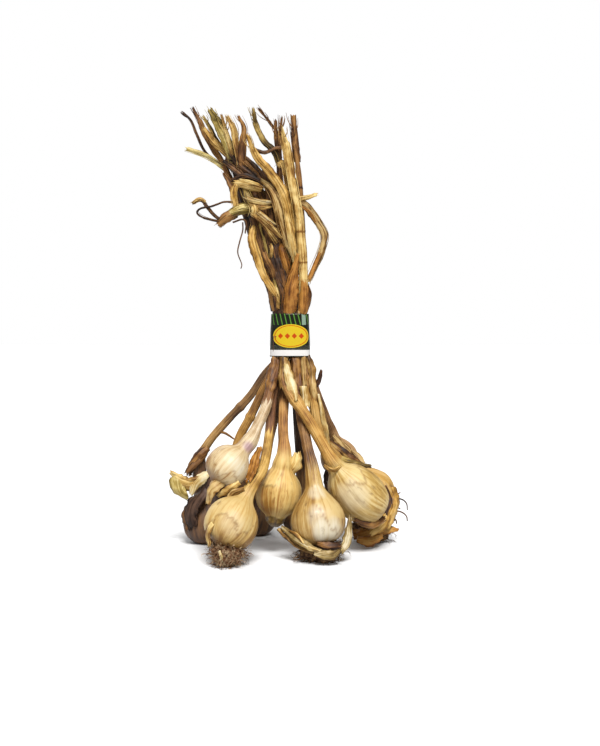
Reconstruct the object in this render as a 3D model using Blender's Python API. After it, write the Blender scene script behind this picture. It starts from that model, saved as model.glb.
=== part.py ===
"""A bunch of eleven whole garlic plants, tied in a paper label, with their dry leaves above it.

The bulbs fan out into a ring and the bunch stands on them. Every plant is one solid, from its
roots up its stalk into the label. The dry leaves of all the plants interlock in a tuft, which is
one solid: a core that fills the label's upper half, with stalks and leaves fused to it.
"""

import math

import bmesh
import bpy
import numpy as np
from mathutils import Matrix, Vector, noise
from mathutils.geometry import interpolate_bezier

# Sizes are in millimetres here, and are turned into metres where the meshes are made.
MM = 0.001
GAP = 0.3

# The label: a flattened sleeve round the stalks.
LABEL_BOTTOM = 191.5
LABEL_TOP = 234.0
LABEL_HALF_WIDTH_BOTTOM = 20.5
LABEL_HALF_WIDTH_TOP = 18.8
LABEL_DEPTH_SHARE = 0.765
LABEL_SQUARENESS = 4.0
LABEL_WALL = 0.6
LABEL_SIDES = 40
STALK_END = 212.5
STALK_STRAIGHTENING = 7.0

# The stalks stand in a grid inside the label.
SLOT_PITCH_X = 8.6
SLOT_PITCH_Y = 8.4
SLOT_STALK_RADIUS = 3.8
GATHERED_BELOW_LABEL = 24.0
SLOT_COLUMNS = {"left": -1.5, "mid_left": -0.5, "mid_right": 0.5, "right": 1.5}
SLOT_ROWS = {"front": -1.0, "middle": 0.0, "back": 1.0}

# A bulb's outline: how far along its axis from its widest place, and its radius there, both as
# shares of the widest radius.
BULB_OUTLINE = (
    (-0.86, 0.30),
    (-0.80, 0.52),
    (-0.62, 0.78),
    (-0.35, 0.95),
    (0.00, 1.00),
    (0.30, 0.95),
    (0.58, 0.81),
    (0.82, 0.62),
    (1.02, 0.45),
    (1.22, 0.33),
)
# The same for a bulb with full shoulders and a sudden neck.
FULL_OUTLINE = (
    (-0.86, 0.30),
    (-0.80, 0.52),
    (-0.62, 0.78),
    (-0.35, 0.95),
    (0.00, 1.00),
    (0.32, 0.96),
    (0.60, 0.83),
    (0.80, 0.64),
    (0.96, 0.43),
    (1.14, 0.31),
)
# The same for a long bulb that keeps its width towards the neck.
LONG_OUTLINE = (
    (-0.86, 0.30),
    (-0.80, 0.52),
    (-0.62, 0.78),
    (-0.35, 0.95),
    (0.00, 1.00),
    (0.40, 0.97),
    (0.75, 0.88),
    (1.05, 0.72),
    (1.28, 0.50),
    (1.42, 0.38),
)
CLOVES = 6
CLOVE_DEPTH = 0.035
BULB_UNEVENNESS = 0.06
BULB_LUMP_SIZE = 22.0
PLANT_SIDES = 12
STUB_TIP_SHARE = 0.2
LONG_STUB = 8.0
LONG_STUB_SHARE = 0.44
NECK_CLEARANCE = 4.0
NECK_RINGS = 2
FEWEST_RINGS = 4
STALK_STEP = 13.0

# Where the front view is drawn from, for the leaves: they are placed as seen from this point and
# then moved along the line of sight to their own depth.
VIEW_POINT = Vector((10.0, -1000.0, 213.0))

LEAF_THICKNESS = 0.9
LEAF_STEP = 11.5
LEAF_WAVE = 1.2
LEAF_WAVE_LENGTH = 31.0
LEAF_FOLD_SHARE = 0.35
ROD_SIDES = 8
ROD_DEPTH_SHARE = 0.8
ROUND = 2.0
PATH_POINTS_PER_SPAN = 12
DIRECTION_REACH = 1.0

# Every plant: the bulb's widest place and radius, the neck at the top of the bulb, the stalk's
# way up to the label and its place in the grid there.
PLANTS = {
    "plant_top_left": {
        "bulb": (-58.5, -62, 89),
        "radius": 20.5,
        "neck": (-37.4, -52, 112.5),
        "neck_radius": 7.8,
        "stalk": [(-30.2, -42, 127), (-22, -28, 147), (-17.4, -19, 169)],
        "stalk_radius": 4.6,
        "slot": ("left", "front"),
        "stub": 3,
        "outline": FULL_OUTLINE,
    },
    "plant_front_left": {
        "bulb": (-53.6, -78, 37.8),
        "radius": 25,
        "neck": (-37.6, -66, 67),
        "neck_radius": 6.2,
        "stalk": [
            (-27.4, -60, 82), (-22.6, -43, 98), (-19.5, -27, 121),
            (-17.4, -15, 149), (-12.8, -6.5, 168),
        ],
        "stalk_radius": 4.4,
        "slot": ("mid_left", "middle"),
        "stub": 3,
        "outline": FULL_OUTLINE,
    },
    "plant_centre": {
        "bulb": (-10.5, -39, 62),
        "radius": 22,
        "root": (-13.5, -41.5, 38.3),
        "neck": (-5.4, -38, 97.6),
        "neck_radius": 7.0,
        "stalk": [(-6.5, -30, 121), (-5.8, -19, 145), (-3.0, -8.0, 165)],
        "stalk_radius": 4.6,
        "slot": ("mid_right", "middle"),
        "stub": 10,
    },
    "plant_front_right": {
        "bulb": (27, -59, 37),
        "radius": 26,
        "neck": (21.4, -47, 86),
        "neck_radius": 6.6,
        "stalk": [(16.7, -38, 107), (11.9, -28, 130), (9.6, -21, 148), (7.8, -16.5, 165)],
        "stalk_radius": 4.6,
        "slot": ("mid_right", "front"),
        "stub": 3,
    },
    "plant_right": {
        "bulb": (67.5, -32, 57.5),
        "radius": 25,
        "root": (91, -24, 42),
        "neck": (41.7, -41, 90),
        "neck_radius": 7.6,
        "stalk": [(31, -40, 109), (19.7, -38, 129), (9, -34, 145), (-2.7, -25, 164)],
        "stalk_radius": 5.0,
        "slot": ("mid_left", "front"),
        "stub": 2,
        "outline": LONG_OUTLINE,
    },
    "plant_outer_right": {
        "bulb": (82, 25, 51),
        "radius": 25.5,
        "neck": (61, 12, 78),
        "neck_radius": 7.0,
        "stalk": [
            (50, 3, 88), (35.5, -13, 104), (27.6, -18, 122), (23.7, -18, 144), (20, -14, 165),
        ],
        "stalk_radius": 4.6,
        "slot": ("right", "front"),
        "stub": 2,
    },
    "plant_back_right": {
        "bulb": (51, 50, 84),
        "radius": 20,
        "neck": (43, 36, 112),
        "neck_radius": 6.0,
        "stalk": [(36, 24, 130), (26, 11, 155), (20, 5, 172)],
        "stalk_radius": 4.2,
        "slot": ("right", "middle"),
        "stub": 2,
    },
    "plant_far_left": {
        "bulb": (-85.5, 22, 21.4),
        "radius": 25,
        "neck": (-93, 14, 84),
        "neck_radius": 6.4,
        "stalk": [(-85, 12, 101), (-66.8, 12, 123), (-40, 12, 152), (-25, 11, 174)],
        "stalk_radius": 3.8,
        "slot": ("left", "back"),
        "stub": 0,
    },
    "plant_inner_left": {
        "bulb": (-50, -12, 46),
        "radius": 21,
        "neck": (-54, -8, 84),
        "neck_radius": 6.0,
        "stalk": [(-52.7, -5, 105), (-40, 0, 131), (-26.5, 1.5, 159)],
        "stalk_radius": 3.9,
        "slot": ("left", "middle"),
        "stub": 2,
    },
    "plant_back": {
        "bulb": (16, 58, 21.4),
        "radius": 25,
        "neck": (12, 49, 72),
        "neck_radius": 6.0,
        "stalk": [(10, 42, 88), (8, 30, 120), (6, 17, 160)],
        "stalk_radius": 4.2,
        "slot": ("mid_right", "back"),
        "stub": 0,
    },
    "plant_back_left": {
        "bulb": (-38, 62, 20.9),
        "radius": 24,
        "neck": (-30, 51, 68),
        "neck_radius": 6.0,
        "stalk": [(-26, 45, 86), (-18, 34, 120), (-9, 19, 160)],
        "stalk_radius": 4.2,
        "slot": ("mid_left", "back"),
        "stub": 0,
    },
}

# Torn skins and root mats that stand clear of a bulb. A skin is a wavy strip: its points, its
# half widths at them and which way it faces. A mat is a lumpy ball: its centre and half sizes.
SKINS = {
    "plant_top_left": [
        {
            "points": [(-62, -70, 80), (-72, -72, 72), (-72, -72, 62)],
            "half": [6, 6, 3],
            "facing": (-0.6, -0.8, 0),
        },
    ],
    "plant_front_left": [
        {
            "points": [(-55, -72, 40), (-75, -84, 25), (-77, -88, 14)],
            "half": [8, 7, 4],
            "facing": (-0.5, -0.8, 0),
        },
        {
            "points": [(-35, -67, 68), (-32.5, -67, 86), (-32.5, -65, 99)],
            "half": [5, 4.2, 2],
            "facing": (0, -1, 0),
        },
    ],
    "plant_centre": [
        {
            "points": [(-4, -40, 84), (3, -43, 92), (7, -42, 100)],
            "half": [5, 7, 3],
            "facing": (0.2, -1, 0),
        },
    ],
    "plant_front_right": [
        {
            "points": [(-6, -62, 32), (3, -73, 22), (20, -82, 13), (37, -84, 8), (48, -79, 8)],
            "half": [3, 6, 7, 7, 4],
            "facing": (-0.2, -1, 0.3),
        },
        {
            "points": [(38, -62, 30), (57, -62, 26), (58, -62, 8)],
            "half": [9, 12, 8],
            "facing": (0.6, -0.8, 0),
        },
    ],
    "plant_right": [
        {
            "points": [(45, -42, 82), (36, -47, 95), (33, -46, 102)],
            "half": [8, 7, 4],
            "facing": (-0.2, -1, 0),
        },
    ],
    "plant_far_left": [
        {
            "points": [(-92, 15, 72), (-110, 12, 78), (-118, 10, 66)],
            "half": [7, 11, 8],
            "facing": (-0.3, -1, 0),
        },
    ],
}
MATS = {
    "plant_front_left": {"centre": (-59, -84, 13), "half": (19, 15, 15)},
    "plant_front_right": {"centre": (30, -64, 9), "half": (23, 17, 11)},
    "plant_outer_right": {"centre": (84, 26, 15), "half": (20, 15, 17)},
}
MAT_UNEVENNESS = 0.35
MAT_LUMP_SIZE = 9.0
MAT_ROUNDNESS = 3
SKIN_WAVE = 0.8

# The tuft's core: the height, the middle and the half width and half depth of its sections. It
# leans to the left as the stalks do.
CORE_SECTIONS = (
    (250.0, -3.0, 0.0, 15.5, 12.5),
    (280.0, -12.0, 1.0, 15.0, 11.0),
    (310.0, -21.0, 2.0, 14.0, 10.0),
    (340.0, -30.0, 3.0, 12.0, 8.0),
    (362.0, -38.0, 4.0, 8.0, 5.0),
)
CORE_SQUARENESS = 2.4
CORE_SIDES = 16
CORE_RISE_ABOVE_LABEL = 1.0

# Stalks in the tuft, as round rods: points as the front view shows them (across, depth, up), and
# the radius at each.
TUFT_STALKS = {
    "main_gold": (
        [(8, -6.5, 226), (12, -10, 240), (13.5, -11, 276), (12, -13, 317), (6, -15, 362)],
        [4, 4.5, 4.5, 4.4, 3],
    ),
    "back_right": (
        [(10, 0, 226), (12, 0, 240), (12, 0, 298), (9, 0, 368), (5, 2, 402)],
        [4, 4, 4, 3.5, 2],
    ),
    "centre": (
        [(3, -2, 226), (0, -3, 250), (-5, -3, 278), (-15, -4, 318), (-22, -4, 358), (-27, -4, 385)],
        [4, 4, 4.5, 4.5, 4, 2],
    ),
    "back": (
        [(2, 6, 226), (0, 9, 248), (-5, 10, 308), (-9, 9, 348), (-11, 8, 400)],
        [4, 4, 4, 4, 2.5],
    ),
    "left": (
        [(-8.5, 0, 226), (-13, 0, 242), (-27, 2, 278), (-38, 2, 313), (-46, 2, 348), (-56, 3, 380)],
        [4, 4, 4.5, 4.5, 4.5, 3],
    ),
    "mid_left": (
        [
            (-5, -2, 226), (-10, -3, 243), (-22, -4, 278),
            (-33, -5, 318), (-43, -5, 353), (-49, -5, 386),
        ],
        [4, 4, 4.5, 5, 4.5, 3],
    ),
    "far_left": (
        [
            (-8, 5.5, 226), (-15, 9.5, 245), (-28, 14, 283),
            (-40, 15, 323), (-53, 16, 353), (-65, 18, 381),
        ],
        [4, 4, 4, 4, 4, 3],
    ),
    "back_left": (
        [(-4, 6, 226), (-10, 10, 250), (-26, 11, 298), (-40, 10, 348), (-55, 10, 386)],
        [4, 4, 4, 4, 3],
    ),
}

# Leaves in the tuft: points as the front view shows them, and the half width at each.
TUFT_LEAVES = {
    "gold_tip": (
        [(7, -14, 352), (4, -15, 372), (0, -16, 387), (-3, -17, 402), (-6, -17, 418)],
        [4, 4, 4, 3.5, 1.2],
    ),
    "long_gold": (
        [
            (6, -12, 290), (1, -15, 317), (-3.5, -17, 342), (-9, -19, 358),
            (-19, -20, 373), (-33, -21, 390), (-43, -23, 412),
        ],
        [3, 4, 4.4, 4.4, 4.4, 3.5, 1.2],
    ),
    "pale_spear": (
        [(5, -13, 285), (2, -18, 300), (-1, -20, 318), (-4, -20, 334)],
        [2.5, 3.5, 3.5, 0.8],
    ),
    "front_blade": (
        [(0.5, -3, 229), (0.8, -12.5, 239), (1.5, -16.5, 250), (4, -18, 268), (7, -18, 294)],
        [5, 7.5, 7, 5, 0.8],
    ),
    "right_blade": (
        [(10, -2, 229), (13.5, -11, 241), (14, -14, 256), (14, -14, 268)],
        [4, 4.5, 4, 1.5],
    ),
    "right_loop": (
        [
            (9, -11, 345), (18, -10, 340), (27, -8, 331), (36.5, -8, 311),
            (31, -10, 296), (21, -11, 276), (15, -11, 263),
        ],
        [3, 3.5, 3.8, 3.6, 3.2, 3, 2.5],
    ),
    "right_stub": ([(7, -12, 346), (17, -11, 351), (27, -10, 353)], [2.5, 2.5, 1]),
    "left_loop": (
        [(-34, -8, 326), (-41, -14, 307), (-36, -15, 288), (-25, -14, 268), (-10, -9, 250)],
        [2.5, 3.5, 4, 3.5, 3],
    ),
    "tan_fold": ([(-34, -5, 352), (-43, -13, 361), (-55, -14, 366)], [4, 5, 2.5]),
    "torn_pale": ([(-17, -6, 342), (-28, -15, 347), (-44, -16, 348)], [3, 4, 2]),
    "two_prong": ([(-12, -6, 307), (-20, -16, 320), (-36, -18, 333)], [3, 4, 1.2]),
    "olive_knot": ([(-28, -6, 332), (-43, -13, 336), (-58, -13, 333)], [5, 6, 3.5]),
    "dark_stub": ([(-48, -10, 334), (-60, -12, 329), (-71, -12, 322)], [4, 4.5, 2]),
    "left_tendril": (
        [
            (-50, -12, 344), (-64, -14, 345), (-78, -14, 341),
            (-92, -13, 336), (-86, -13, 330), (-66, -12, 325),
        ],
        [1.6, 1.2, 1.2, 1.2, 1.2, 1.4],
    ),
    "loop_leaf": (
        [(-64, -12, 325), (-74, -12, 331), (-83, -12, 341), (-88, -12, 347), (-96, -12, 344)],
        [2, 2, 2, 2, 1],
    ),
    "side_spear": ([(-62, 17, 378), (-85, 18, 391), (-103, 18, 397)], [2.5, 2.2, 0.8]),
    "far_leaf": ([(-62, 17, 376), (-78, 20, 401), (-90, 22, 425), (-96, 22, 438)], [3, 3, 3, 1]),
    "far_thread": (
        [(-64, 18, 379), (-84, 22, 394), (-93, 23, 412), (-99, 24, 426), (-107, 25, 434)],
        [1.6, 1.4, 1.4, 1.4, 1],
    ),
    "orange_leaf": (
        [(-52, 9, 382), (-63, 10, 394), (-74, 10, 403), (-85, 11, 418)],
        [3.5, 3.5, 3.5, 1.5],
    ),
    "olive_tip": ([(-60, 9, 390), (-70, 13, 402), (-80, 14, 420), (-86, 14, 430)], [2.5, 2, 2, 1]),
    "wide_olive": (
        [(-50, 2, 364), (-56, 2, 388), (-62, 1, 405), (-69, 2, 420), (-79, 3, 437)],
        [4, 5, 6, 6, 2],
    ),
    "yellow_leaf": (
        [(-48, -5, 378), (-53, -6, 402), (-56, -7, 418), (-62, -7, 430)],
        [3, 3.5, 3.5, 1.5],
    ),
    "brown_fold": (
        [(-47, -6, 372), (-48, -8, 388), (-47, -8, 404), (-46, -8, 418), (-51, -8, 430)],
        [3, 4.5, 5, 2.5, 0.8],
    ),
    "dark_olive": (
        [(-10, 6, 380), (-16, 2, 396), (-26, 1, 406), (-33, 2, 420), (-37, 3, 438)],
        [2.5, 3, 3, 2.5, 1],
    ),
    "thin_brown": (
        [(-11, 8, 396), (-12, 8, 412), (-18, 8, 421), (-31, 8, 437)],
        [1.6, 1.4, 1.4, 0.9],
    ),
    "brown_tip": ([(-10, 8, 388), (-13, 6, 404), (-14, 6, 426)], [2.5, 2.5, 1.8]),
    "red_tip": ([(-10, 7, 392), (-9, 5, 412), (-8, 4, 429)], [1.6, 1.6, 1]),
    "right_tip": ([(7, 1, 385), (5, 4, 406), (2, 4, 431)], [3.5, 3.5, 2.5]),
    "inner_gold": (
        [
            (-29, -10, 367), (-20, -15, 360), (-15, -17, 351), (-11, -17, 339),
            (-7, -16, 321), (-1, -15, 304), (4, -13, 290),
        ],
        [2.5, 4, 5, 5, 4.4, 4, 2],
    ),
    "curled": ([(-12, -6, 380), (-7, -10, 384), (-3, -11, 372), (-1, -11, 354)], [2, 3, 3.5, 2]),
    "cross_brown": ([(-36, -2, 398), (-25, -2, 394), (-14, 1, 399), (-4, 1, 399)], [1.4, 2, 2, 1.4]),
    "right_edge": ([(12, -3, 230), (18.5, -6, 243), (20, -7, 254), (16, -8, 267)], [1.6, 2.4, 2.4, 1.4]),
    "middle_brown": ([(-9, -7, 304), (-8, -13, 296), (-4, -13.5, 284), (-2, -9, 270)], [2, 3.5, 4, 1.5]),
    "middle_grey": ([(-27, -6, 300), (-24, -12, 290), (-18, -12.5, 278), (-14, -8, 262)], [2, 3, 3, 1.5]),
    "dark_mass": ([(-64, 2, 388), (-53, -3, 380), (-40, -6, 374), (-26, -4, 364)], [4, 8, 8, 5]),
}

SKIN_COLOUR = (0.62, 0.45, 0.24, 1.0)
DARK_SKIN_COLOUR = (0.2, 0.12, 0.07, 1.0)
LEAF_COLOUR = (0.42, 0.27, 0.12, 1.0)
LABEL_COLOUR = (0.05, 0.07, 0.03, 1.0)


def clear_scene():
    for obj in list(bpy.data.objects):
        bpy.data.objects.remove(obj)


def make_material(name, colour, roughness):
    material = bpy.data.materials.new(name)
    material.use_nodes = True
    shader = material.node_tree.nodes["Principled BSDF"]
    shader.inputs["Base Color"].default_value = colour
    shader.inputs["Roughness"].default_value = roughness
    return material


def smooth_path(points):
    """A dense smooth curve through the points, and the length run up to each of its points."""
    knots = [Vector(point) for point in points]
    slopes = []
    for i in range(len(knots)):
        before = knots[max(i - 1, 0)]
        after = knots[min(i + 1, len(knots) - 1)]
        slopes.append((after - before).normalized())
    curve = [knots[0]]
    for i in range(len(knots) - 1):
        third = (knots[i + 1] - knots[i]).length / 3
        leave = knots[i] + slopes[i] * third
        arrive = knots[i + 1] - slopes[i + 1] * third
        curve += interpolate_bezier(knots[i], leave, arrive, knots[i + 1], PATH_POINTS_PER_SPAN)[1:]
    curve = np.array([tuple(point) for point in curve])
    pieces = np.linalg.norm(np.diff(curve, axis=0), axis=1)
    return curve, np.concatenate([[0.0], np.cumsum(pieces)])


def path_point(path, along):
    curve, run = path
    return Vector([float(np.interp(along, run, curve[:, axis])) for axis in range(3)])


def path_direction(path, along):
    ahead = path_point(path, min(along + DIRECTION_REACH, path[1][-1]))
    behind = path_point(path, max(along - DIRECTION_REACH, 0.0))
    return (ahead - behind).normalized()


def rounded_section(half_width, half_depth, squareness, sides):
    """A ring of offsets: an ellipse, or with more squareness a rounded rectangle."""
    ring = []
    for i in range(sides):
        angle = 2 * math.pi * i / sides
        across = math.copysign(abs(math.cos(angle)) ** (2 / squareness), math.cos(angle))
        deep = math.copysign(abs(math.sin(angle)) ** (2 / squareness), math.sin(angle))
        ring.append((half_width * across, half_depth * deep))
    return ring


def loft(name, rings, collection, turned_diagonals=()):
    """A closed solid through rings of as many points each. On the sides in turned_diagonals the
    four-sided faces are split the other way, so that a strip's two faces have like triangles."""
    mesh = bpy.data.meshes.new(name)
    count = len(rings[0])
    points = [tuple(Vector(point) * MM) for ring in rings for point in ring]
    faces = []
    for i in range(len(rings) - 1):
        for j in range(count):
            a = i * count + j
            b = i * count + (j + 1) % count
            c = a + count
            d = b + count
            if j in turned_diagonals:
                faces += [(a, b, c), (b, d, c)]
            else:
                faces += [(a, b, d), (a, d, c)]
    faces.append(tuple(range(count))[::-1])
    faces.append(tuple(range(len(points) - count, len(points))))
    mesh.from_pydata(points, [], faces)
    obj = bpy.data.objects.new(name, mesh)
    collection.objects.link(obj)
    shape = bmesh.new()
    shape.from_mesh(mesh)
    bmesh.ops.recalc_face_normals(shape, faces=shape.faces)
    shape.to_mesh(mesh)
    shape.free()
    return obj


def above_floor(point):
    return Vector((point.x, point.y, max(point.z, 0.0)))


def plant_centre_line(plant):
    """The line from the root up the bulb's axis and the stalk to its end inside the label."""
    bulb = Vector(plant["bulb"])
    neck = Vector(plant["neck"])
    lowest_share = BULB_OUTLINE[0][0]
    root = Vector(plant.get("root", bulb + (neck - bulb).normalized() * lowest_share * plant["radius"]))
    column, row = plant["slot"]
    across = SLOT_COLUMNS[column] * SLOT_PITCH_X
    deep = SLOT_ROWS[row] * SLOT_PITCH_Y
    stub_end = root + (root - bulb).normalized() * max(plant["stub"], 0.5)
    heights = (LABEL_BOTTOM - STALK_STRAIGHTENING / 2, LABEL_BOTTOM + STALK_STRAIGHTENING / 2, STALK_END)
    inside = [(across, deep, height) for height in heights]
    return stub_end, root, [stub_end, root, bulb, neck, *plant["stalk"], *inside]


def plant_stations(plant):
    """The heights along the centre line where the plant has a ring, and its radius there."""
    stub_end, root, points = plant_centre_line(plant)
    path = smooth_path(points)
    curve, run = path
    radius = plant["radius"]
    to_bulb = float(run[2 * (PATH_POINTS_PER_SPAN - 1)])
    to_neck = float(run[3 * (PATH_POINTS_PER_SPAN - 1)])
    stub = (root - stub_end).length
    stations = [0.0]
    radii = [radius * STUB_TIP_SHARE]
    lowest_share = -BULB_OUTLINE[0][0]
    if stub > LONG_STUB:
        stations.append(stub * LONG_STUB_SHARE)
        radii.append(radius * LONG_STUB_SHARE)
    for share, size in plant.get("outline", BULB_OUTLINE):
        if stub > LONG_STUB:
            size = max(size, LONG_STUB_SHARE)
        if share < 0:
            along = to_bulb + share / lowest_share * (to_bulb - stub)
        else:
            along = to_bulb + share * radius
        if along < to_neck - NECK_CLEARANCE:
            stations.append(along)
            radii.append(max(radius * size, plant["neck_radius"]) if share > 0 else radius * size)
    stations.append(to_neck)
    radii.append(plant["neck_radius"])
    left = float(run[-1]) - to_neck
    gathered = LABEL_BOTTOM - GATHERED_BELOW_LABEL
    steps = max(int(left / STALK_STEP), FEWEST_RINGS)
    for i in range(1, steps + 1):
        along = to_neck + left * i / steps
        height = path_point(path, along).z
        share = min(i / NECK_RINGS, 1.0)
        size = plant["neck_radius"] * (1 - share) + plant["stalk_radius"] * share
        stations.append(along)
        radii.append(min(size, SLOT_STALK_RADIUS) if height > gathered else size)
    return path, stations, radii


def plant_rings(plant):
    path, stations, radii = plant_stations(plant)
    rings = []
    side = path_direction(path, 0.0).orthogonal().normalized()
    for along, radius in zip(stations, radii):
        direction = path_direction(path, along)
        side = (side - direction * side.dot(direction)).normalized()
        other = direction.cross(side)
        middle = path_point(path, along)
        fullness = min(max((radius - plant["neck_radius"]) / plant["radius"], 0.0), 1.0)
        ring = []
        for i in range(PLANT_SIDES):
            angle = 2 * math.pi * i / PLANT_SIDES
            outward = side * math.cos(angle) + other * math.sin(angle)
            clove = CLOVE_DEPTH * math.cos(CLOVES * angle)
            lump = BULB_UNEVENNESS * noise.noise((middle + outward * radius) / BULB_LUMP_SIZE)
            reach = radius * (1 + (clove + lump) * fullness)
            ring.append(above_floor(middle + outward * reach))
        rings.append(ring)
    return rings


def leaf_rings(points, half_widths, facing, wave):
    """Rings of six points along a folded, wavy strip: three on its front and three on its back."""
    path = smooth_path(points)
    length = float(path[1][-1])
    steps = max(int(length / LEAF_STEP), FEWEST_RINGS)
    places = np.linspace(0.0, 1.0, len(half_widths))
    rings = []
    for i in range(steps + 1):
        share = i / steps
        along = share * length
        direction = path_direction(path, along)
        across = direction.cross(Vector(facing)).normalized()
        front = across.cross(direction).normalized()
        half = float(np.interp(share, places, half_widths))
        ripple = wave * math.sin(2 * math.pi * along / LEAF_WAVE_LENGTH)
        middle = path_point(path, along) + front * ripple
        fold = front * LEAF_FOLD_SHARE * half
        back = front * -LEAF_THICKNESS
        edges = [middle - across * half, middle + fold, middle + across * half]
        ring = edges + [point + back for point in reversed(edges)]
        rings.append([above_floor(point) for point in ring])
    return rings


def make_leaf(name, points, half_widths, facing, wave, collection):
    back_face_sides = (3, 4)
    rings = leaf_rings(points, half_widths, facing, wave)
    return loft(name, rings, collection, turned_diagonals=back_face_sides)


def make_rod(name, points, radii, collection):
    path = smooth_path(points)
    length = float(path[1][-1])
    steps = max(int(length / STALK_STEP), FEWEST_RINGS)
    places = np.linspace(0.0, 1.0, len(radii))
    rings = []
    for i in range(steps + 1):
        share = i / steps
        direction = path_direction(path, share * length)
        across = direction.cross(Vector((0, 1, 0))).normalized()
        other = across.cross(direction)
        radius = float(np.interp(share, places, radii))
        middle = path_point(path, share * length)
        section = rounded_section(radius, radius * ROD_DEPTH_SHARE, ROUND, ROD_SIDES)
        rings.append([middle + across * x + other * y for x, y in section])
    return loft(name, rings, collection)


def make_mat(name, mat, collection):
    """A lumpy ball of roots or torn skins, flat where it meets the floor."""
    shape = bmesh.new()
    bmesh.ops.create_icosphere(shape, subdivisions=MAT_ROUNDNESS, radius=1.0)
    centre = Vector(mat["centre"])
    half = Vector(mat["half"])
    for vertex in shape.verts:
        point = Vector([vertex.co[axis] * half[axis] for axis in range(3)])
        lump = 1 + MAT_UNEVENNESS * noise.noise((centre + point) / MAT_LUMP_SIZE)
        vertex.co = above_floor(centre + point * lump) * MM
    mesh = bpy.data.meshes.new(name)
    shape.to_mesh(mesh)
    shape.free()
    obj = bpy.data.objects.new(name, mesh)
    collection.objects.link(obj)
    return obj


def drop_loose_shells(mesh):
    """Keeps the largest connected shell: loose scraps and sealed hollows go."""
    shape = bmesh.new()
    shape.from_mesh(mesh)
    unseen = set(shape.verts)
    shells = []
    while unseen:
        shell = set()
        front = [unseen.pop()]
        while front:
            vertex = front.pop()
            shell.add(vertex)
            for edge in vertex.link_edges:
                other = edge.other_vert(vertex)
                if other in unseen:
                    unseen.remove(other)
                    front.append(other)
        shells.append(shell)
    largest = max(shells, key=len)
    loose = [vertex for shell in shells if shell is not largest for vertex in shell]
    bmesh.ops.delete(shape, geom=loose, context="VERTS")
    shape.to_mesh(mesh)
    shape.free()


def fuse(target, pieces):
    """Joins all the pieces in the collection to the target with one Boolean union."""
    union = target.modifiers.new("fuse", "BOOLEAN")
    union.operation = "UNION"
    union.solver = "EXACT"
    union.operand_type = "COLLECTION"
    union.collection = pieces
    bpy.context.view_layer.update()
    graph = bpy.context.evaluated_depsgraph_get()
    mesh = bpy.data.meshes.new_from_object(target.evaluated_get(graph))
    target.modifiers.remove(union)
    target.data = mesh
    for piece in list(pieces.objects):
        bpy.data.objects.remove(piece)
    bpy.data.collections.remove(pieces)
    drop_loose_shells(mesh)


def pieces_collection(name):
    pieces = bpy.data.collections.new(name)
    bpy.context.scene.collection.children.link(pieces)
    return pieces


def label_half_width(height):
    share = (height - LABEL_BOTTOM) / (LABEL_TOP - LABEL_BOTTOM)
    return LABEL_HALF_WIDTH_BOTTOM + share * (LABEL_HALF_WIDTH_TOP - LABEL_HALF_WIDTH_BOTTOM)


def label_ring(height, inset, sides):
    half_width = label_half_width(height) - inset
    half_depth = label_half_width(height) * LABEL_DEPTH_SHARE - inset
    section = rounded_section(half_width, half_depth, LABEL_SQUARENESS, sides)
    return [Vector((x, y, height)) for x, y in section]


def make_plants(collection, light, dark):
    for name, plant in PLANTS.items():
        obj = loft(name, plant_rings(plant), collection)
        obj.data.materials.append(dark if name == "plant_far_left" else light)
        skins = SKINS.get(name, [])
        if not skins and name not in MATS:
            continue
        pieces = pieces_collection(name + "_pieces")
        for i, skin in enumerate(skins):
            make_leaf(f"{name}_skin_{i}", skin["points"], skin["half"], skin["facing"], SKIN_WAVE, pieces)
        if name in MATS:
            make_mat(name + "_mat", MATS[name], pieces)
        fuse(obj, pieces)


def make_label(collection, material):
    """The sleeve: its outer and inner walls in one turn, from the bottom up and down again."""
    mesh = bpy.data.meshes.new("label_band")
    rings = [
        label_ring(LABEL_BOTTOM, LABEL_WALL, LABEL_SIDES),
        label_ring(LABEL_BOTTOM, 0.0, LABEL_SIDES),
        label_ring(LABEL_TOP, 0.0, LABEL_SIDES),
        label_ring(LABEL_TOP, LABEL_WALL, LABEL_SIDES),
    ]
    points = [tuple(point * MM) for ring in rings for point in ring]
    faces = []
    for i in range(len(rings)):
        for j in range(LABEL_SIDES):
            after = (i + 1) % len(rings) * LABEL_SIDES
            here = i * LABEL_SIDES
            following = (j + 1) % LABEL_SIDES
            faces.append((here + j, here + following, after + following, after + j))
    mesh.from_pydata(points, [], faces)
    shape = bmesh.new()
    shape.from_mesh(mesh)
    bmesh.ops.recalc_face_normals(shape, faces=shape.faces)
    shape.to_mesh(mesh)
    shape.free()
    mesh.materials.append(material)
    obj = bpy.data.objects.new("label_band", mesh)
    collection.objects.link(obj)


def as_seen(point):
    """A point of the front view, moved along the line of sight to its own depth."""
    across, depth, up = point
    nearness = 1 + depth / -VIEW_POINT.y
    seen = Vector((across, 0.0, up))
    return VIEW_POINT + (seen - VIEW_POINT) * nearness


def make_tuft(collection, material):
    inset = LABEL_WALL + GAP
    heights = (STALK_END + 2 * GAP, LABEL_TOP + CORE_RISE_ABOVE_LABEL)
    rings = [label_ring(height, inset, CORE_SIDES) for height in heights]
    for height, middle_x, middle_y, half_width, half_depth in CORE_SECTIONS:
        section = rounded_section(half_width, half_depth, CORE_SQUARENESS, CORE_SIDES)
        rings.append([Vector((middle_x + x, middle_y + y, height)) for x, y in section])
    tuft = loft("leaf_tuft", rings, collection)
    pieces = pieces_collection("leaf_tuft_pieces")
    for name, (points, radii) in TUFT_STALKS.items():
        make_rod("tuft_" + name, [as_seen(point) for point in points], radii, pieces)
    for name, (points, half_widths) in TUFT_LEAVES.items():
        seen = [as_seen(point) for point in points]
        make_leaf("tuft_" + name, seen, half_widths, (0, -1, 0), LEAF_WAVE, pieces)
    fuse(tuft, pieces)
    tuft.data.materials.clear()
    tuft.data.materials.append(material)


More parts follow.
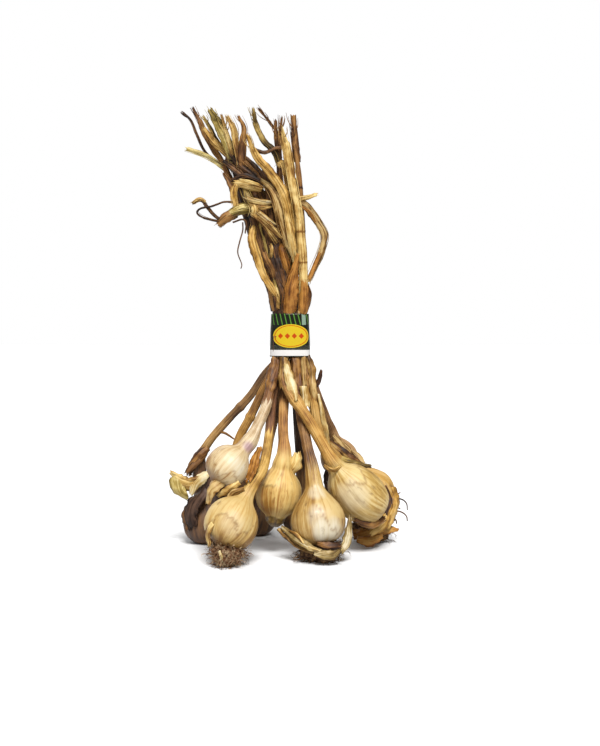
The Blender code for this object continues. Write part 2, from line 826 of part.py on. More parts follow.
def stand_on_origin(collection):
    """Moves the whole so that the middle of its box's bottom is at the origin."""
    corners = [obj.matrix_world @ vertex.co for obj in collection.objects for vertex in obj.data.vertices]
    lowest = [min(corner[axis] for corner in corners) for axis in range(3)]
    highest = [max(corner[axis] for corner in corners) for axis in range(3)]
    middle = Vector(((lowest[0] + highest[0]) / 2, (lowest[1] + highest[1]) / 2, lowest[2]))
    for obj in collection.objects:
        obj.data.transform(Matrix.Translation(-middle))


def main():
    clear_scene()
    collection = bpy.data.collections.new("garlic_bunch")
    bpy.context.scene.collection.children.link(collection)
    light = make_material("dry_skin", SKIN_COLOUR, 0.55)
    dark = make_material("dark_skin", DARK_SKIN_COLOUR, 0.6)
    leaf = make_material("dry_leaf", LEAF_COLOUR, 0.65)
    paper = make_material("label_paper", LABEL_COLOUR, 0.3)
    make_plants(collection, light, dark)
    make_label(collection, paper)
    make_tuft(collection, leaf)
    stand_on_origin(collection)


main()
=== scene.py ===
import math

import bmesh
import bpy
import numpy as np
from bpy.props import FloatProperty, FloatVectorProperty, IntProperty, PointerProperty
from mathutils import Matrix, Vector, noise


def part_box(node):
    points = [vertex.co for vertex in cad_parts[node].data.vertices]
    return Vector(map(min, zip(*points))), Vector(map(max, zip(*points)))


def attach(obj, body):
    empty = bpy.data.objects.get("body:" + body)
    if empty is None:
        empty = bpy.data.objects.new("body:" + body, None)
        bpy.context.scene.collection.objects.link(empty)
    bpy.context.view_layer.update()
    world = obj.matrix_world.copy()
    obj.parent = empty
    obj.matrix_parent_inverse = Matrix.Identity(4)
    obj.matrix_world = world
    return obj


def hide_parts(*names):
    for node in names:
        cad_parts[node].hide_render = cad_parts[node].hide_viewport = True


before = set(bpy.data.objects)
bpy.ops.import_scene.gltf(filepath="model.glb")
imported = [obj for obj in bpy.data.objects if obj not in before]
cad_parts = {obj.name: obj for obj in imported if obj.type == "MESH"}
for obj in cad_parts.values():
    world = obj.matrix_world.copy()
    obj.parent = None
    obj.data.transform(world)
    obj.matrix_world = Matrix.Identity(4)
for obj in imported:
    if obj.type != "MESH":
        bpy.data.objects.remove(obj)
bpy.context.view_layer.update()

bl_info = {
    "name": "Garlic Bunch",
    "version": (1, 0, 0),
    "blender": (4, 5, 0),
    "location": "View3D > Sidebar > Garlic",
    "description": "Dresses a bunch of dried garlic plants: skins, stalks, roots, leaves and label",
    "category": "Object",
}

# Sizes below are in millimetres from the floor under the bunch's own axis, with Y away from the
# viewer. The label sits on that axis, so its box tells where the axis is in the model.
MM = 0.001
label_low, label_high = (Vector(corner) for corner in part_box("label_band"))
AXIS = Vector(((label_low.x + label_high.x) / 2, (label_low.y + label_high.y) / 2, 0.0)) / MM
LABEL_BOTTOM = label_low.z / MM
LABEL_TOP = label_high.z / MM
LABEL_HALF_WIDTH = (label_high.x - label_low.x) / 2 / MM
# Where the camera stands and what it looks at.
VIEW_POINT = Vector((10.0, -1000.0, 213.0))
VIEW_AIM = Vector((10.0, 0.0, 175.0))

# Each stalk has a place of its own inside the label, on a grid of four by three.
SLOT_PITCH_X = 8.6
SLOT_PITCH_Y = 8.4
SLOT_COLUMNS = {"left": -1.5, "mid_left": -0.5, "mid_right": 0.5, "right": 1.5}
SLOT_ROWS = {"front": -1.0, "middle": 0.0, "back": 1.0}
SLOT_STALK_RADIUS = 3.9
STALK_END = 212.0
# A stalk's line runs straight up from this far below the label's edge, and the stalk thins to
# its place between the next two distances below that edge.
ENTRY_REACH = 3.5
GATHERED_BELOW_LABEL = 14.0
GATHERED_BY = 2.0
PATH_POINTS_PER_SPAN = 24
SMOOTHING_REACH = 2

# Roots, necks and stalks: a stub longer than the second number is a bare root nub, and a bulb's
# outline stops a little before its neck, which runs on into the stalk.
SHORTEST_STUB = 0.5
BARE_NUB_ABOVE = 8.0
OUTLINE_STOPS_BEFORE_NECK = 4.0
NECK_LENGTH = 14.0
NECK_SWELL = 1.08
JOINT_REACH = 2.2

# A bulb's skin: its grooves between cloves, its lumps, and the edge of its torn outermost layer,
# whose width is a share of the way from the bulb's widest place to its neck.
FEWEST_CLOVES = 6
GROOVE_SHARPNESS = 2.2
LUMP_SHARE = 0.06
LUMP_SIZE = 22.0
NECK_RIDGES_REACH = 13.0
LAYER_STEP = 0.3
RIM_SOFTNESS = 0.02
RIM_LINE_WIDTH = 0.035
RIM_LINE_STRENGTH = 0.55
# The most that the painted lit side and the outer layer may lighten or darken a bulb.
MOST_LIT_SIDE_AND_LAYER = 1.2
# Where the bulb's colours give way to the neck's, and how ragged the change to the upper stalk
# is. The blush is a soft round spot of this radius.
STEM_STARTS_BEFORE_NECK = 6.0
STEM_FULL_AFTER_NECK = 8.0
UPPER_RAGGED = 9.0
UPPER_BLEND = 1.5
BLUSH_REACH = 5.6
BLUSH_STRENGTH = 0.85
# How far from its tip a bare nub reaches, and how sharply it and another root end stop.
NUB_LENGTH = 10.0
NUB_WAVE = 0.8
NUB_EDGE = 1.2
ROOT_END_LENGTH = 5.0
ROOT_END_EDGE = 6.0

# Ribs are drawn as if a plant, a rod or the tuft's core were a round rod of this radius.
PLANT_FIBRE_RADIUS = 11.0
ROD_FIBRE_RADIUS = 6.0
CORE_FIBRE_RADIUS = 14.0
# No point of a plant, a torn skin, a root mat or a root hair lies lower than this.
PLANT_FLOOR = 0.15
SHEET_FLOOR = 0.4
MAT_FLOOR = 0.1
HAIR_FLOOR = 0.2

# Leaves and torn skins: how far their middle wanders, how far they curl, and their folded margin.
FEWEST_ROWS = 10
SWAY_TO_FRONT = 0.9
SWAY_ASIDE = 0.7
CURL_PER_FOLD = 2.4
LEAST_CURL = 0.25
MOST_CURL = 1.9
WIDEST_CURL = 1.25
HEM_PLACE = 0.62
NO_HEM = 2.0
HEM_LIFT = 0.55
RIB_HEIGHT = 0.08
FRAYED_ABOVE = 405.0
FRAYED_FIBRES = 5
# How ragged the edge of each kind of leaf is, and the seed of its first one.
RAGGED = {"sheets": 0.32, "seen_sheets": 0.2, "leaves": 0.12, "packed_leaves": 0.15}
FIRST_SEED = {"sheets": 40, "seen_sheets": 70, "leaves": 0, "packed_leaves": 200}
FIBRE_SEED = 3
PACKED_SEED = 11

# Stalks: the distance between rings, and where a leaf scar stands, as a share of the length.
ROD_STEP = 1.4
SCAR_PLACES = (0.22, 0.47, 0.71)
SCAR_REACH = 0.9
THREAD_SIDES = 8
FIBRE_SIDES = 6
FEWEST_SIDES_WITH_SCARS = 13

# A bulb's outline: how far along its axis from its widest place, and its radius there, both as
# shares of the widest radius.
BULB_OUTLINE = (
    (-0.86, 0.24),
    (-0.83, 0.42),
    (-0.74, 0.66),
    (-0.55, 0.86),
    (-0.30, 0.97),
    (0.00, 1.00),
    (0.30, 0.95),
    (0.58, 0.81),
    (0.82, 0.62),
    (1.02, 0.45),
    (1.22, 0.33),
)
ROOT_HALF = BULB_OUTLINE[:6]
ROOT_SHARE = BULB_OUTLINE[0][0]
# The same for a bulb with full shoulders and a sudden neck.
FULL_OUTLINE = (*ROOT_HALF, (0.32, 0.96), (0.60, 0.83), (0.80, 0.64), (0.96, 0.43), (1.14, 0.31))
# The same for a long bulb that keeps its width towards the neck.
LONG_OUTLINE = (*ROOT_HALF, (0.40, 0.97), (0.75, 0.88), (1.05, 0.72), (1.28, 0.50), (1.42, 0.38))
# A bare root nub: its tip's and its own radius as shares of the bulb's, and its outline as
# millimetres from its tip with such shares.
STUB_TIP_SHARE = 0.10
NUB_SHARE = 0.46
NUB_OUTLINE = ((1.0, 0.24), (3.0, 0.36), (4.0, 0.37), (5.0, 0.41), (8.5, 0.44))

# Colours are written as they look in the stage's light. The surface's own colour is darker by
# the first number, because the light is strong, and deeper by the second, because the white
# surroundings make it look paler.
REFLECTED = 0.56
DEEPENED = 1.08


def linear(code):
    """The linear colour of a surface that looks like an sRGB hex code in the stage's light."""
    channels = [int(code[i : i + 2], 16) / 255 for i in (1, 3, 5)]
    curve = [c / 12.92 if c <= 0.04045 else ((c + 0.055) / 1.055) ** 2.4 for c in channels]
    grey = sum(curve) / 3
    return (*(max(grey + (c - grey) * DEEPENED, 0.0) * REFLECTED for c in curve), 1.0)


# Every plant, as in the part, with the colours of its bulb and of its stalk from dark to light.
# Each bulb is painted lighter on one side, as if lit from there, and some carry spots of painted
# highlight. Some plants' colours are darkened as painted shade.
PLANTS = {
    "plant_top_left": {
        "bulb": (-58.5, -62, 89), "radius": 20.5, "neck": (-37.4, -52, 112.5), "neck_radius": 7.8,
        "stalk": [(-30.2, -42, 127), (-22, -28, 147), (-17.4, -19, 169)],
        "stalk_radius": 4.6, "slot": ("left", "front"), "stub": 3, "slot_name": "pale_skin",
        "outline": FULL_OUTLINE, "blush": (-39.0, -60.0, 107.5),
        "skin": ("#a07440", "#d8bb8b", "#f0dbb3"), "stem": ("#93683a", "#d0b48b", "#f2e0c4"),
        "upper": ("#47291a", "#71462a", "#a0713f"), "upper_from": 146.0, "lit_side_and_layer": (1.0, -0.35, -0.15),
        "gloss": 0.34, "joints": [(147.0, 0.5)], "painted_highlight": [(-46, -80, 91, 10.0, 0.8)],
    },
    "plant_front_left": {
        "bulb": (-53.6, -78, 37.8), "radius": 25, "neck": (-37.6, -66, 67), "neck_radius": 6.2,
        "stalk": [
            (-27.4, -60, 82), (-22.6, -43, 98), (-19.5, -27, 121), (-17.4, -15, 149), (-12.8, -6.5, 168),
        ],
        "stalk_radius": 4.4, "slot": ("mid_left", "middle"), "stub": 3, "slot_name": "gold_skin",
        "outline": FULL_OUTLINE, "painted_highlight": [(-52, -104, 42, 12.0, 0.25)],
        "skin": ("#a17536", "#d3ad6a", "#e8cb8e"), "stem": ("#7c5526", "#d0a252", "#efca80"),
        "upper": ("#4c2f1d", "#7c4f2f", "#a87748"), "upper_from": 118.0, "lit_side_and_layer": (0.2, -0.3, 0.3),
        "gloss": 0.42, "joints": [],
    },
    "plant_centre": {
        "bulb": (-10.5, -39, 62), "radius": 22, "root": (-13.5, -41.5, 38.3), "neck": (-5.4, -38, 97.6),
        "neck_radius": 7.0,
        "stalk": [(-6.5, -30, 121), (-5.8, -19, 145), (-3.0, -8.0, 165)],
        "stalk_radius": 4.6, "slot": ("mid_right", "middle"), "stub": 10, "slot_name": "gold_skin",
        "skin": ("#b27e3a", "#e8c178", "#f4d590"), "stem": ("#684020", "#b58048", "#dcaa68"),
        "upper": ("#54341f", "#8e6038", "#b98757"), "upper_from": 150.0, "lit_side_and_layer": (0.4, -0.2, 0.2),
        "gloss": 0.42, "joints": [], "root_end": ("#3b2812", "#9c7d42"),
    },
    "plant_front_right": {
        "bulb": (27, -59, 37), "radius": 26, "neck": (21.4, -47, 86), "neck_radius": 6.6,
        "stalk": [(16.7, -38, 107), (11.9, -28, 130), (9.6, -21, 148), (7.8, -16.5, 165)],
        "stalk_radius": 4.6, "slot": ("mid_right", "front"), "stub": 3, "slot_name": "pale_skin",
        # The stem's dark colours are partly the neck's own red-brown and partly painted shade where it
        # runs behind the right plant's stalk.
        "skin": ("#8c602c", "#c79f5e", "#e6c88c"), "stem": ("#3f2612", "#6d4623", "#a87c48"),
        "upper": ("#5f3c22", "#966138", "#bd8b55"), "upper_from": 134.0, "lit_side_and_layer": (0.5, -0.35, 0.1),
        "gloss": 0.3, "joints": [],
        "painted_highlight": [(36, -84, 32, 15.0, 1.0), (26, -66, 66, 9.0, 0.6), (27, -80, 44, 13.0, 0.5)],
    },
    "plant_right": {
        "bulb": (67.5, -32, 57.5), "radius": 25, "root": (91, -24, 42), "neck": (41.7, -41, 90),
        "neck_radius": 7.6, "stalk": [(31, -40, 109), (19.7, -38, 129), (9, -34, 145), (-2.7, -25, 164)],
        "stalk_radius": 5.0, "slot": ("mid_left", "front"), "stub": 2, "slot_name": "gold_skin",
        "outline": LONG_OUTLINE, "skin": ("#8f6829", "#cba761", "#eed396"),
        "stem": ("#8a5826", "#cf9d50", "#ecc17a"),
        "upper": ("#6b4426", "#b27f43", "#dcae6a"), "upper_from": 150.0, "lit_side_and_layer": (-0.2, -0.5, 0.4),
        "gloss": 0.4, "joints": [(150.0, 1.1), (146.0, 0.7)], "painted_highlight": [(60, -58, 60, 17.0, 0.45)],
    },
    "plant_outer_right": {
        "bulb": (82, 25, 51), "radius": 25.5, "neck": (61, 12, 78), "neck_radius": 7.0,
        "stalk": [(50, 3, 88), (35.5, -13, 104), (27.6, -18, 122), (23.7, -18, 144), (20, -14, 165)],
        "stalk_radius": 4.6, "slot": ("right", "front"), "stub": 2, "slot_name": "gold_skin",
        "skin": ("#8f6328", "#cfa256", "#e6c184"), "stem": ("#9b692f", "#cf9f54", "#e7bf7c"),
        "upper": ("#7a4f2a", "#b98543", "#dfb273"), "upper_from": 160.0, "lit_side_and_layer": (0.2, -0.2, 0.3),
        "gloss": 0.42, "joints": [(163.0, 0.9)],
    },
    "plant_back_right": {
        "bulb": (51, 50, 84), "radius": 20, "neck": (43, 36, 112), "neck_radius": 6.0,
        "stalk": [(36, 24, 130), (26, 11, 155), (20, 5, 172)],
        "stalk_radius": 4.2, "slot": ("right", "middle"), "stub": 2, "slot_name": "gold_skin",
        "skin": ("#7d5830", "#b48a5c", "#d3ad80"), "stem": ("#5f4026", "#8f663c", "#b98a5a"),
        "upper": ("#4d3320", "#7c5633", "#a67a4d"), "upper_from": 130.0, "lit_side_and_layer": (0.1, -0.2, 0.4),
        "gloss": 0.46, "joints": [],
    },
    "plant_far_left": {
        "bulb": (-85.5, 22, 21.4), "radius": 25, "neck": (-93, 14, 84), "neck_radius": 6.4,
        "stalk": [(-85, 12, 101), (-66.8, 12, 123), (-40, 12, 152), (-25, 11, 174)],
        "stalk_radius": 3.8, "slot": ("left", "back"), "stub": 0, "slot_name": "dark_skin",
        # Painted shade: this bulb's skin is darkened as if it lay in the shade of the bulbs in front.
        "skin": ("#36241a", "#64452f", "#8b6543"), "stem": ("#6b4a28", "#a67c46", "#c9a269"),
        "upper": ("#4c3320", "#7d5a34", "#a98050"), "upper_from": 128.0, "lit_side_and_layer": (0.0, -0.2, 0.3),
        "gloss": 0.5, "joints": [(140.0, 0.8)],
    },
    "plant_inner_left": {
        "bulb": (-50, -12, 46), "radius": 21, "neck": (-54, -8, 84), "neck_radius": 6.0,
        "stalk": [(-52.7, -5, 105), (-40, 0, 131), (-26.5, 1.5, 159)],
        "stalk_radius": 3.9, "slot": ("left", "middle"), "stub": 2, "slot_name": "dark_skin",
        # Painted shade: this bulb's skin is darkened as if it lay in the shade of the bulbs in front.
        "skin": ("#3a271b", "#6b4b32", "#946d48"), "stem": ("#8a6029", "#bf8f47", "#dcb06b"),
        "upper": ("#5c3c20", "#94662f", "#c0904f"), "upper_from": 135.0, "lit_side_and_layer": (0.0, -0.2, 0.3),
        "gloss": 0.5, "joints": [(131.0, 0.9)],
    },
    "plant_back": {
        "bulb": (16, 58, 21.4), "radius": 25, "neck": (12, 49, 72), "neck_radius": 6.0,
        "stalk": [(10, 42, 88), (8, 30, 120), (6, 17, 160)],
        "stalk_radius": 4.2, "slot": ("mid_right", "back"), "stub": 0, "slot_name": "dark_skin",
        # Painted shade: skin, stem and upper stalk are darkened as if in the shade of the bulbs in front.
        "skin": ("#4a3220", "#835f3a", "#b08a5b"), "stem": ("#2b1c13", "#4a3322", "#6e4f35"),
        "upper": ("#281a13", "#452f20", "#664a33"), "upper_from": 120.0, "lit_side_and_layer": (0.0, 0.3, 0.3),
        "gloss": 0.48, "joints": [],
    },
    "plant_back_left": {
        "bulb": (-38, 62, 20.9), "radius": 24, "neck": (-30, 51, 68), "neck_radius": 6.0,
        "stalk": [(-26, 45, 86), (-18, 34, 120), (-9, 19, 160)],
        "stalk_radius": 4.2, "slot": ("mid_left", "back"), "stub": 0, "slot_name": "dark_skin",
        # Painted shade: this bulb's skin is darkened as if it lay in the shade of the bulbs in front.
        "skin": ("#43301f", "#775534", "#a37d50"), "stem": ("#5f4226", "#96703f", "#bb945e"),
        "upper": ("#4a3220", "#7b5935", "#a27c4f"), "upper_from": 120.0, "lit_side_and_layer": (0.0, 0.3, 0.3),
        "gloss": 0.46, "joints": [],
    },
}

FRESH_ROOTS = ("#432718", "#94694a", "#e8cda6")
# Painted shade: darker colours for the mats under the front right and outer right bulbs, where only shade
# is seen.
SHADED_ROOTS = ("#2c1b13", "#5f4330", "#a8855c")
# The mats in painted shade carry only this share of the hairs, so that they show less.
SHADED_ROOTS_DENSITY = 0.25
# Root mats and torn skins that lie under three of the bulbs: the middle and the half sizes.
MATS = {
    "mat_front_left": {
        "node": "plant_front_left", "centre": (-57, -84, 12), "half": (15, 12, 12),
        "colours": FRESH_ROOTS,
    },
    "mat_front_right": {
        "node": "plant_front_right", "centre": (30, -64, 9), "half": (22, 16, 10.5), "colours": SHADED_ROOTS,
    },
    "mat_outer_right": {
        "node": "plant_outer_right", "centre": (84, 26, 15), "half": (19, 14, 16.5), "colours": SHADED_ROOTS,
    },
}

# The finish of leaves, stalks and torn skins: dark, middle and light.
FINISHES = {
    "straw": ("#83592a", "#dab068", "#fadd9a"),
    "gold": ("#6c4720", "#c99a4f", "#f0c880"),
    "brown": ("#382318", "#744c2b", "#ad7f4a"),
    "dark": ("#21160f", "#4b3222", "#835c38"),
    "olive": ("#43331a", "#8b703a", "#c4a763"),
    "ivory": ("#a67c40", "#e0c486", "#faeac2"),
    "amber": ("#5c371a", "#99622c", "#c98f4c"),
    "tan": ("#452b17", "#a47a42", "#d9b97f"),
    "umber": ("#36200f", "#8a6536", "#d2b27a"),
    "sage": ("#6f5c2c", "#bfa55d", "#ebd797"),
    "dun": ("#6a522c", "#bba069", "#efe0bc"),
    # Painted shade: near-black browns for sheets that stand where only shade is seen.
    "shade": ("#1d1310", "#3d2a20", "#60483a"),
    "russet": ("#774a22", "#b87d3c", "#d6a662"),
}

# Stalks in the tuft: finish, points as the front view shows them (across, depth, up) and radii.
TUFT_STALKS = {
    "main_gold": (
        "straw",
        [
            (8, -6.5, 226), (12.5, -10, 240), (13.2, -11, 274), (10.9, -13, 310), (9.3, -12.5, 334),
            (7.4, -10, 352),
        ],
        [4, 5.0, 5.0, 5.2, 4.8, 2.4],
    ),
    "back_right": (
        "brown", [(10, 0, 226), (12, 0, 240), (12, 0, 298), (9, 0, 368), (5, 2, 402)], [4, 4, 4, 3.5, 2],
    ),
    "centre": (
        "dark",
        [(3, -2, 226), (0, -3, 250), (-5, -3, 278), (-15, -4, 318), (-22, -4, 358), (-27, -4, 385)],
        [4, 4, 4.5, 4.5, 4, 2],
    ),
    "back": (
        "brown", [(2, 6, 226), (0, 9, 248), (-5, 10, 308), (-9, 9, 348), (-11, 8, 400)],
        [4, 4, 4, 4, 2.8],
    ),
    "left": (
        "dark",
        [(-8.5, 0, 226), (-13, 0, 242), (-27, 2, 278), (-38, 2, 313), (-46, 2, 348), (-56, 3, 380)],
        [4, 4, 4.5, 4.5, 4.5, 3],
    ),
    "mid_left": (
        "dark",
        [(-5, -2, 226), (-10, -3, 243), (-22, -4, 278), (-33, -5, 318), (-43, -5, 353), (-49, -5, 386)],
        [4, 4, 4.5, 5, 4.5, 3],
    ),
    "far_left": (
        "brown",
        [
            (-8, 5.5, 226), (-15, 9.5, 245), (-28, 14, 283), (-40, 15, 323), (-53, 16, 353),
            (-65, 18, 381),
        ],
        [4, 4, 4, 4, 4, 3],
    ),
    "back_left": (
        "brown", [(-4, 6, 226), (-10, 10, 250), (-26, 11, 298), (-40, 10, 348), (-55, 10, 386)],
        [4, 4, 4, 4, 3],
    ),
}

